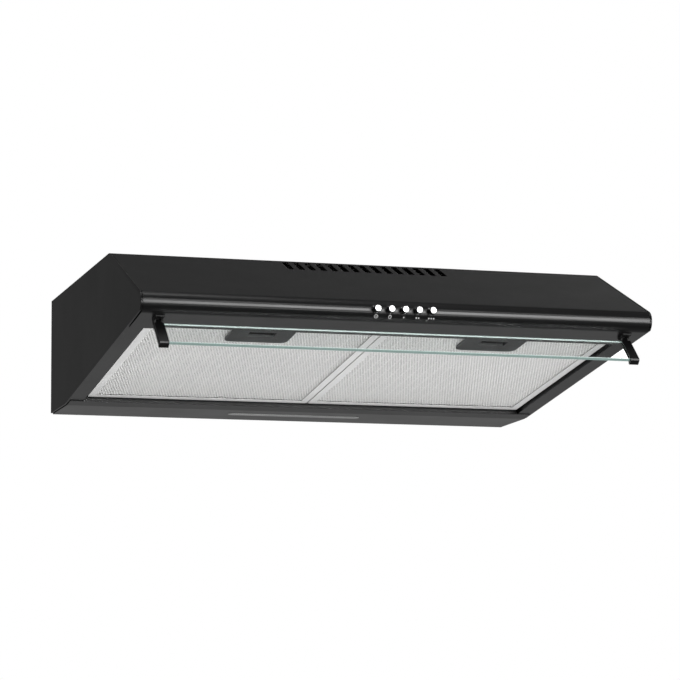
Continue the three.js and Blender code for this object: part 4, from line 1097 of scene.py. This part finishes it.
@dataclass
class Duct:
    """The collar on top, its ring and screws, and the two flaps on their pin."""

    crush_ribs: int = 36
    rib_size: tuple[float, float, float] = (0.0012, 0.0006, 0.011)
    collar_radius: float = 0.0595
    collar_y: float = -0.085
    rib_z: float = 0.0165
    rib_taper: float = 0.6
    rib_sink: float = 0.0002

    def build(self) -> None:
        """Finishes the moulded pieces and sets the crush ribs round the collar."""
        finished_copy("outlet_collar", SATIN_BLACK)
        finished_copy("collar_ring", SATIN_BLACK)
        finished_copy("front_flap", SATIN_BLACK)
        finished_copy("rear_flap", SATIN_BLACK)
        finished_copy("flap_pin", ZINC)
        coat(ZINC, "collar_screw_1", "collar_screw_2", "collar_screw_3", "collar_screw_4")
        self.add_ribs()

    def add_ribs(self) -> None:
        """Low upright ribs that grip a duct pushed over the collar."""
        work = bmesh.new()
        width, depth, height = (0.5 * s for s in self.rib_size)
        out = self.collar_radius + depth - self.rib_sink
        inner, narrow = out - 2 * depth, self.rib_taper * width
        outline = []
        for face, level in ((out, -height), (out - depth, height)):
            outline += [(-width, inner, level), (width, inner, level)]
            outline += [(narrow, face, level), (-narrow, face, level)]
        faces = [(0, 1, 2, 3), (7, 6, 5, 4), (0, 4, 5, 1), (1, 5, 6, 2), (2, 6, 7, 3), (3, 7, 4, 0)]
        for i in range(self.crush_ribs):
            turn = Matrix.Rotation(2 * math.pi * (i + 0.5) / self.crush_ribs, 4, "Z")
            place = Matrix.Translation((0.0, self.collar_y, self.rib_z)) @ turn
            verts = [work.verts.new(place @ Vector(corner)) for corner in outline]
            for face in faces:
                work.faces.new([verts[k] for k in face])
        mesh = closed_mesh(work, "collar_crush_ribs")
        mesh.materials.append(SATIN_BLACK.material())
        mounted(enter(mesh, "collar_crush_ribs"), "hood_body", SATIN_BLACK)


@dataclass
class Blower:
    """The blower, its motor and the electrical boxes."""

    def build(self) -> None:
        """Finishes the housing, wheel and motor, and coats the rest."""
        for side in ("left", "right"):
            finished_copy(f"blower_housing_{side}", OFF_WHITE)
        finished_copy("impeller", FAN_GREY)
        finished_copy("motor_can", ZINC)
        finished_copy("motor_shaft", ZINC)
        finished_copy("run_capacitor", CAPACITOR_WHITE)
        finished_copy("cable_grommet", SATIN_BLACK)
        coat(ZINC, "motor_bracket")
        coat(FAN_GREY, "terminal_box", "terminal_box_lid")


@dataclass
class Controls:
    """The five buttons, their bezels and legends, and the switches behind."""

    names: tuple[str, ...] = (
        "button_lamp",
        "button_stop",
        "button_speed_1",
        "button_speed_2",
        "button_speed_3",
    )
    bezel_radius: float = 4.75
    bezel_section: float = 0.62
    bezel_y: float = -469.3
    legend_drop: float = 7.6
    legend_thick: float = 0.06
    legend_shift: float = 0.9
    face_tilt: float = 0.35
    face_edge: float = 0.0002
    mark: tuple[float, float] = (2.3, 2.4)
    mark_line: float = 0.6
    dot: tuple[float, float] = (0.85, 0.9)
    dot_pitch: float = 2.8
    mark_sides: int = 28
    mark_sink: float = 0.01

    def build(self) -> None:
        """Builds every piece of the controls."""
        for name in self.names:
            self.add_button(name)
        coat(OFF_WHITE, "switch_body")
        coat(ZINC, "switch_bracket")
        self.add_bezels()
        self.add_legends()

    def add_button(self, name: str) -> None:
        """One button: a bright plated face, and a chrome barrel painted black as a painted dark
        reflection.

        Args:
            name: the CAD node.
        """
        button = finished_copy(name, BRIGHT, self.face_edge)
        button.data.materials.append(BARREL_DARK_REFLECTION.material())
        # Faces turned to the front keep the bright plating; the rest is painted black, a painted
        # dark reflection
        for polygon in button.data.polygons:
            polygon.material_index = 0 if -polygon.normal.y > self.face_tilt else 1

    def add_bezels(self) -> None:
        """A soft black ring round each button."""
        places = [
            Vector((LAYOUT.button(i), self.bezel_y, -LAYOUT.nose_drop)) * MM
            for i in range(len(self.names))
        ]
        size = (self.bezel_radius * MM, self.bezel_section * MM, 0.0)
        turn = (math.pi / 2, 0.0, 0.0)
        rings = set_out("button_bezels", Repeated.RING, places, size, turn, SATIN_BLACK)
        mounted(rings, "hood_body", SATIN_BLACK)

    def on_nose(self, x: float, along: float, lift: float) -> Vector:
        """A place on the nose.

        Args:
            x: across, in millimetres.
            along: down the nose's surface from the legends' line.
            lift: out of the surface.

        Returns:
            The place in the hood's frame, in millimetres.
        """
        radius = LAYOUT.nose_radius
        angle = math.asin(-self.legend_drop / radius) - along / radius
        centre = LAYOUT.nose
        reach = radius + lift
        x += self.legend_shift
        return Vector((x, centre.y - reach * math.cos(angle), centre.z + reach * math.sin(angle)))

    def add_legends(self) -> None:
        """Printed marks under the buttons: a lamp ring, a stop ring, and one to three dots."""
        work = bmesh.new()
        self.print_ring(work, LAYOUT.button(0), self.mark, self.mark_line)
        self.print_ring(work, LAYOUT.button(0), (0.55, 0.6), 0.0)
        self.print_ring(work, LAYOUT.button(1), (1.7, 2.4), self.mark_line)
        for count in (1, 2, 3):
            for k in range(count):
                x = LAYOUT.button(count + 1) + (k - (count - 1) / 2) * self.dot_pitch
                self.print_ring(work, x, self.dot, 0.0)
        mesh = closed_mesh(work, "button_legends")
        mesh.materials.append(LEGEND.material())
        mounted(enter(mesh, "button_legends"), "hood_body", LEGEND)

    def print_ring(
        self, work: bmesh.types.BMesh, x: float, size: tuple[float, float], stroke: float
    ) -> None:
        """Adds a thin printed ring, or a dot where its stroke is nothing.

        Args:
            work: the mesh being made.
            x: its centre across, in millimetres.
            size: half its width and half its height.
            stroke: the width of its line.
        """
        steps = self.mark_sides
        low, high = -self.mark_sink, self.legend_thick
        rows = []
        for inset, lift in ((0.0, low), (0.0, high), (stroke, high), (stroke, low)):
            if not stroke and len(rows) > 1:
                rows.append([work.verts.new(self.on_nose(x, 0.0, lift) * MM)] * steps)
                continue
            row = []
            for i in range(steps):
                angle = 2 * math.pi * i / steps
                dx, dy = (size[0] - inset) * math.cos(angle), (size[1] - inset) * math.sin(angle)
                row.append(work.verts.new(self.on_nose(x + dx, dy, lift) * MM))
            rows.append(row)
        pairs = [(0, 1), (1, 2), (3, 0)] + ([(2, 3)] if stroke else [])
        for a, b in pairs:
            for i in range(steps):
                j = (i + 1) % steps
                corners = [rows[a][i], rows[a][j], rows[b][j], rows[b][i]]
                unique = list(dict.fromkeys(corners))
                work.faces.new(unique)


@dataclass
class Lamp:
    """The lamp in the rear strip."""

    def build(self) -> None:
        """Finishes the lens and coats what lies behind it."""
        finished_copy("lamp_lens", OPAL)
        coat(OFF_WHITE, "lamp_housing", "led_driver")
        coat(BOARD, "led_board")


@dataclass
class GreaseFilter:
    """One aluminium filter: border, expanded meshes, pleated core, handle and latch.

    Sizes are in millimetres in the filter's own frame, whose -Y runs towards the nose.
    """

    side: int
    half_width: float = 129.8
    front: float = -308.0
    rear: float = -8.4
    screen_z: float = 1.5
    back_z: float = 7.5
    long_way: float = 10.6
    short_way: float = 3.4
    ribbon: float = 1.05
    thickness: float = 0.5
    room_half: float = 23.6
    room_rear: float = -276.4
    label: str = field(init=False)

    def __post_init__(self) -> None:
        """Names the filter by its side."""
        self.label = "left" if self.side < 0 else "right"

    def build(self) -> None:
        """Builds and dresses the filter."""
        coat(FILTER_BORDER, f"{self.label}_filter_frame")
        coat(FILTER_CORE_SHADE, f"{self.label}_filter_core")
        finished_copy(f"{self.label}_filter_handle", HANDLE_GREY, 0.0004)
        finished_copy(f"{self.label}_filter_latch", LATCH_GREY, 0.0002)
        self.add_screen("filter_mesh", self.screen_z, 1.0)
        self.add_screen("filter_back_mesh", self.back_z, 2.0)

    def add_screen(self, part: str, height: float, coarser: float) -> None:
        """Expanded mesh: zigzag strands along Y that meet at their bends.

        Args:
            part: the CAD node it replaces, without the side.
            height: of the mesh's middle above the filter's face.
            coarser: how many times larger the openings are than the front mesh's.
        """
        tree = screen_tree()
        mesh = bpy.data.meshes.new(f"{self.label}_{part}_strands")
        piece = enter(mesh, mesh.name)
        half_pitch = 0.5 * self.long_way * coarser
        row_pitch = 0.5 * self.short_way * coarser
        bends = int((self.rear - self.front) / half_pitch) + 1
        rows = 2 * int(self.half_width / row_pitch) + 1
        values: dict[str, Value] = {
            "Bends": bends,
            "Rows": rows,
            "Half pitch": half_pitch * MM,
            "Row pitch": row_pitch * MM,
            "First bend": (self.front + 1.0) * MM,
            "First row": -0.5 * (rows - 1) * row_pitch * MM,
            "Height": height * MM,
            "Ribbon": self.ribbon * coarser**0.5 * MM,
            "Thickness": self.thickness * MM,
            "Room half": self.room_half * MM,
            "Room rear": self.room_rear * MM,
            "Material": FILTER_STRAND.material(),
        }
        run_tree(piece, tree, values)
        piece.data.transform(LAYOUT.filter(self.side))
        mounted(piece, f"{self.label}_filter", FILTER_STRAND, f"{self.label}_{part}")


def screen_tree() -> bpy.types.NodeTree:
    """The geometry tree of an expanded mesh, with room left out for the handle."""
    name = "expanded mesh"
    found = bpy.data.node_groups.get(name)
    if found:
        return found
    lengths = (
        "Half pitch",
        "Row pitch",
        "First bend",
        "First row",
        "Height",
        "Ribbon",
        "Thickness",
        "Room half",
        "Room rear",
    )
    inputs: dict[str, tuple[str, Value | None]] = {
        "Geometry": ("geometry", None),
        "Bends": ("int", 10),
        "Rows": ("int", 10),
    }
    inputs.update({length: ("float", 0.001) for length in lengths})
    inputs["Material"] = ("material", None)
    tree, given, result = new_group(name, "GeometryNodeTree", inputs, {"Geometry": "geometry"})
    out = given.outputs

    def vector(x: Value = 0.0, y: Value = 0.0, z: Value = 0.0) -> bpy.types.NodeSocket:
        """A vector from its parts."""
        return tree.node("ShaderNodeCombineXYZ", {0: x, 1: y, 2: z}).outputs[0]

    odd = tree.math("MODULO", tree.node("GeometryNodeInputIndex").outputs[0], 2.0)
    line = tree.node("GeometryNodeMeshLine", {"Count": out["Bends"]})
    tree.put(line.inputs["Start Location"], vector(y=out["First bend"]))
    tree.put(line.inputs["Offset"], vector(y=out["Half pitch"]))
    swing = tree.math("MULTIPLY", tree.math("SUBTRACT", odd, 0.5), out["Row pitch"])
    strand = tree.node("GeometryNodeSetPosition", {"Geometry": line.outputs[0]})
    tree.put(strand.inputs["Offset"], vector(swing))
    starts = tree.node("GeometryNodeMeshLine", {"Count": out["Rows"]})
    tree.put(starts.inputs["Start Location"], vector(out["First row"], z=out["Height"]))
    tree.put(starts.inputs["Offset"], vector(out["Row pitch"]))
    flip = tree.math("SUBTRACT", 1.0, tree.math("MULTIPLY", odd, 2.0))
    rows = tree.node(
        "GeometryNodeInstanceOnPoints",
        {
            "Points": starts.outputs[0],
            "Instance": strand.outputs[0],
            "Scale": vector(flip, 1.0, 1.0),
        },
    )
    plain = tree.node("GeometryNodeRealizeInstances", {0: rows.outputs[0]})
    parts = tree.node(
        "ShaderNodeSeparateXYZ", {0: tree.node("GeometryNodeInputPosition").outputs[0]}
    ).outputs
    beside = tree.math("LESS_THAN", tree.math("ABSOLUTE", parts[0]), out["Room half"])
    ahead = tree.math("LESS_THAN", parts[1], out["Room rear"])
    inside = tree.math("MULTIPLY", beside, ahead)
    kept = tree.node("GeometryNodeDeleteGeometry", {0: plain.outputs[0], "Selection": inside})
    curves = tree.node("GeometryNodeMeshToCurve", {0: kept.outputs[0]})
    level = tree.node("GeometryNodeSetCurveNormal", {0: curves.outputs[0]})
    section = tree.node(
        "GeometryNodeCurvePrimitiveQuadrilateral",
        {"Width": out["Ribbon"], "Height": out["Thickness"]},
    )
    made = tree.node("GeometryNodeCurveToMesh", {0: level.outputs[0], "Fill Caps": True})
    tree.put(made.inputs["Profile Curve"], section.outputs[0])
    last = tree.node("GeometryNodeRealizeInstances", {0: made.outputs[0]})
    dressed = tree.node("GeometryNodeSetMaterial", {0: last.outputs[0]})
    tree.put(dressed.inputs["Material"], out["Material"])
    tree.put(result.inputs["Geometry"], dressed.outputs[0])
    return tree.tree


@dataclass
class Visor:
    """The glass visor between its two arms, with the brackets and pins that carry it.

    Sizes are in millimetres in the visor's frame, whose -Y runs from the pivot along the arms.
    """

    glass_half: float = 272.75
    glass_near: float = -4.5
    glass_far: float = -39.5
    glass_thick: float = 4.0
    corner: float = 3.0
    arris: float = 0.5
    arm_x: float = 275.0
    rib_count: int = 11
    rib_pitch: float = 2.7
    rib_start: float = -7.5
    rib_z: float = -3.55
    rib_size: tuple[float, float, float] = (3.4, 1.3, 0.5)
    rib_row: float = 2.4

    def build(self) -> None:
        """Builds and dresses the visor."""
        for side in ("left", "right"):
            finished_copy(f"{side}_visor_arm", GLOSS_BLACK, 0.0004)
            finished_copy(f"{side}_visor_bracket", MATT_BLACK)
            finished_copy(f"{side}_visor_pin", BLACKENED)
        self.add_pane()
        self.add_ribs()

    def add_pane(self) -> None:
        """The pane, with small arrises and ground edges whose finishes glow as painted light."""
        outline = rounded_outline(
            -self.glass_half, self.glass_far, self.glass_half, self.glass_near, self.corner
        )
        half = self.glass_thick / 2
        levels = [(-half, self.arris), (-half + self.arris, 0.0)]
        levels += [(half - self.arris, 0.0), (half, self.arris)]
        points, faces = prism(outline, levels)
        mesh = solid_mesh("visor_pane", points, faces, LAYOUT.visor())
        for finish in (PANE, PANE_EDGE, PANE_ARRIS_HIGHLIGHT, PANE_TOP):
            mesh.materials.append(finish.material())
        back = LAYOUT.visor().inverted().to_3x3()
        lower, arris, upper = 1, 2, 3
        # The arrises take the brightest glowing finish, a painted highlight line; the edge faces
        # take dimmer glowing finishes
        for polygon in mesh.polygons[2:]:
            facing = back @ polygon.normal
            if abs(facing.z) > 0.5:
                polygon.material_index = arris
            else:
                polygon.material_index = lower if facing.y < 0.5 else upper
        pane = enter(mesh, "visor_pane")
        pane.visible_shadow = False
        mounted(pane, "visor", PANE, "visor_glass")

    def add_ribs(self) -> None:
        """Two rows of small pads along each arm's lower face."""
        places = []
        for side in (-1, 1):
            for row in (-1, 1):
                for i in range(self.rib_count):
                    x = side * self.arm_x + row * self.rib_row
                    y = self.rib_start - i * self.rib_pitch
                    places.append(LAYOUT.visor() @ (Vector((x, y, self.rib_z)) * MM))
        turn = LAYOUT.visor().to_euler()
        size = [s * MM for s in self.rib_size]
        pads = set_out("visor_arm_pads", Repeated.RIB, places, size, turn, GLOSS_BLACK)
        mounted(pads, "visor", GLOSS_BLACK)


# ---------------------------------------------------------------- camera, light and floor


@dataclass
class Studio:
    """The camera, the lights, the white surround and the pale floor."""

    location: tuple[float, float, float] = (-0.9798, -3.4308, -0.6017)
    yaw: float = 0.2967527
    pitch: float = 0.1552465
    roll: float = -0.0093636
    lens: float = 149.98
    floor_z: float = -0.95
    floor_half: float = 4.0

    def build(self) -> None:
        """Sets the camera, the surround, the floor and the lights."""
        self.set_camera()
        self.set_world()
        self.add_floor()
        self.add_softbox("front box", (1.1, -3.6, 0.05), (1.8, 1.6), 85.0)
        self.add_softbox("overhead box", (-0.5, -0.6, 2.6), (2.6, 1.6), 26.0)
        self.add_softbox("back box", (1.7, 3.0, 0.9), (2.0, 1.6), 12.0)
        self.add_filter_light()
        scene = bpy.context.scene
        scene.view_settings.view_transform = "Standard"
        scene.view_settings.look = "None"

    def set_camera(self) -> None:
        """Places the camera."""
        sy, cy = math.sin(self.yaw), math.cos(self.yaw)
        sp, cp = math.sin(self.pitch), math.cos(self.pitch)
        forward = Vector((sy * cp, cy * cp, sp))
        right = Vector((cy, -sy, 0.0))
        up = right.cross(forward)
        sr, cr = math.sin(self.roll), math.cos(self.roll)
        across = right * cr + up * sr
        upward = up * cr - right * sr
        turn = Matrix((across, upward, -forward)).transposed().to_4x4()
        data = bpy.data.cameras.new("camera")
        data.sensor_width = 36.0
        data.lens = self.lens
        data.clip_end = 60.0
        camera = bpy.data.objects.new("camera", data)
        camera.matrix_world = Matrix.Translation(self.location) @ turn
        bpy.context.scene.collection.objects.link(camera)
        bpy.context.scene.camera = camera

    def set_world(self) -> None:
        """White where it is seen, and graded where it lights or mirrors: dim above and behind."""
        world = bpy.data.worlds.new("surround")
        world.use_nodes = True
        bpy.context.scene.world = world
        tree = Tree(world.node_tree)
        seen = world.node_tree.nodes["Background"]
        tree.put(seen.inputs["Color"], (1.0, 1.0, 1.0, 1.0))
        seen.inputs["Strength"].default_value = 1.0
        direction = tree.node("ShaderNodeTexCoord").outputs["Generated"]
        parts = tree.node("ShaderNodeSeparateXYZ", {0: direction}).outputs
        height = tree.spread(parts[2], (-0.25, 0.1), (0.42, 0.1))
        lit = tree.node("ShaderNodeBackground", {"Color": (1.0, 1.0, 1.0, 1.0), "Strength": height})
        path = tree.node("ShaderNodeLightPath").outputs
        shown = tree.math("MAXIMUM", path["Is Camera Ray"], path["Is Transmission Ray"])
        both = tree.node(
            "ShaderNodeMixShader", {0: shown, 1: lit.outputs[0], 2: seen.outputs[0]}
        )
        tree.put(world.node_tree.nodes["World Output"].inputs["Surface"], both.outputs[0])

    def add_floor(self) -> None:
        """A plain pale floor, seen through from below, that throws no shadow on the hood."""
        half = self.floor_half
        mesh = bpy.data.meshes.new("floor")
        corners = [(-half, -half), (half, -half), (half, half), (-half, half)]
        mesh.from_pydata([(x, y, self.floor_z) for x, y in corners], [], [(0, 1, 2, 3)])
        material = bpy.data.materials.new("pale floor")
        material.use_nodes = True
        tree = Tree(material.node_tree)
        material.node_tree.nodes.remove(material.node_tree.nodes["Principled BSDF"])
        back = tree.node("ShaderNodeSeparateXYZ", {0: tree.place()}).outputs[1]
        light = tree.spread(back, (-1.2, 0.5), (0.02, 0.28))
        seen = tree.node("ShaderNodeLightPath").outputs["Is Camera Ray"]
        strength = tree.math("MAXIMUM", light, seen)
        above = tree.node("ShaderNodeEmission", {"Strength": strength})
        clear = tree.node("ShaderNodeBsdfTransparent")
        below = tree.node("ShaderNodeNewGeometry").outputs["Backfacing"]
        both = tree.node(
            "ShaderNodeMixShader", {0: below, 1: above.outputs[0], 2: clear.outputs[0]}
        )
        tree.put(material.node_tree.nodes["Material Output"].inputs["Surface"], both.outputs[0])
        mesh.materials.append(material)
        floor = enter(mesh, "floor")
        floor.visible_shadow = False

    def add_softbox(
        self,
        name: str,
        place: tuple[float, float, float],
        size: tuple[float, float],
        power: float,
        target: tuple[float, float, float] = (0.0, -0.3, -0.08),
    ) -> bpy.types.Object:
        """Adds an area light aimed at the hood.

        Args:
            name: its name.
            place: where it stands.
            size: its width and height.
            power: in watts.
            target: the point that it faces.

        Returns:
            The light.
        """
        data = bpy.data.lights.new(name, "AREA")
        data.shape = "RECTANGLE"
        data.size, data.size_y = size
        data.energy = power
        light = bpy.data.objects.new(name, data)
        away = Vector(place) - Vector(target)
        turn = away.to_track_quat("Z", "Y").to_matrix().to_4x4()
        light.matrix_world = Matrix.Translation(place) @ turn
        light.visible_camera = False
        bpy.context.scene.collection.objects.link(light)
        return light

    def add_filter_light(self) -> None:
        """Two low soft boxes that only the filters take."""
        receivers = bpy.data.collections.new("lit filters")
        pale = ("filter_frame", "filter_core", "mesh_strands")
        for piece in list(bpy.context.scene.objects):
            if piece.type == "MESH" and piece.name.endswith(pale):
                receivers.objects.link(piece)
        for name, place, size, power in (
            ("low rear box", (0.9, 3.0, -1.6), (4.5, 2.2), 150.0),
            ("low front box", (0.3, -1.6, -2.2), (3.2, 2.0), 85.0),
        ):
            light = self.add_softbox(name, place, size, power)
            light.light_linking.receiver_collection = receivers


# ---------------------------------------------------------------- assembly


def main() -> None:
    """Builds the hood, then the studio."""
    logging.basicConfig(level=logging.INFO, format="%(name)s: %(message)s")
    parts = [
        Shell(),
        Duct(),
        Blower(),
        Controls(),
        Lamp(),
        GreaseFilter(-1),
        GreaseFilter(1),
        Visor(),
    ]
    for part in parts:
        log.info("building %s", type(part).__name__)
        part.build()
    Studio().build()


if __name__ == "__main__":
    main()
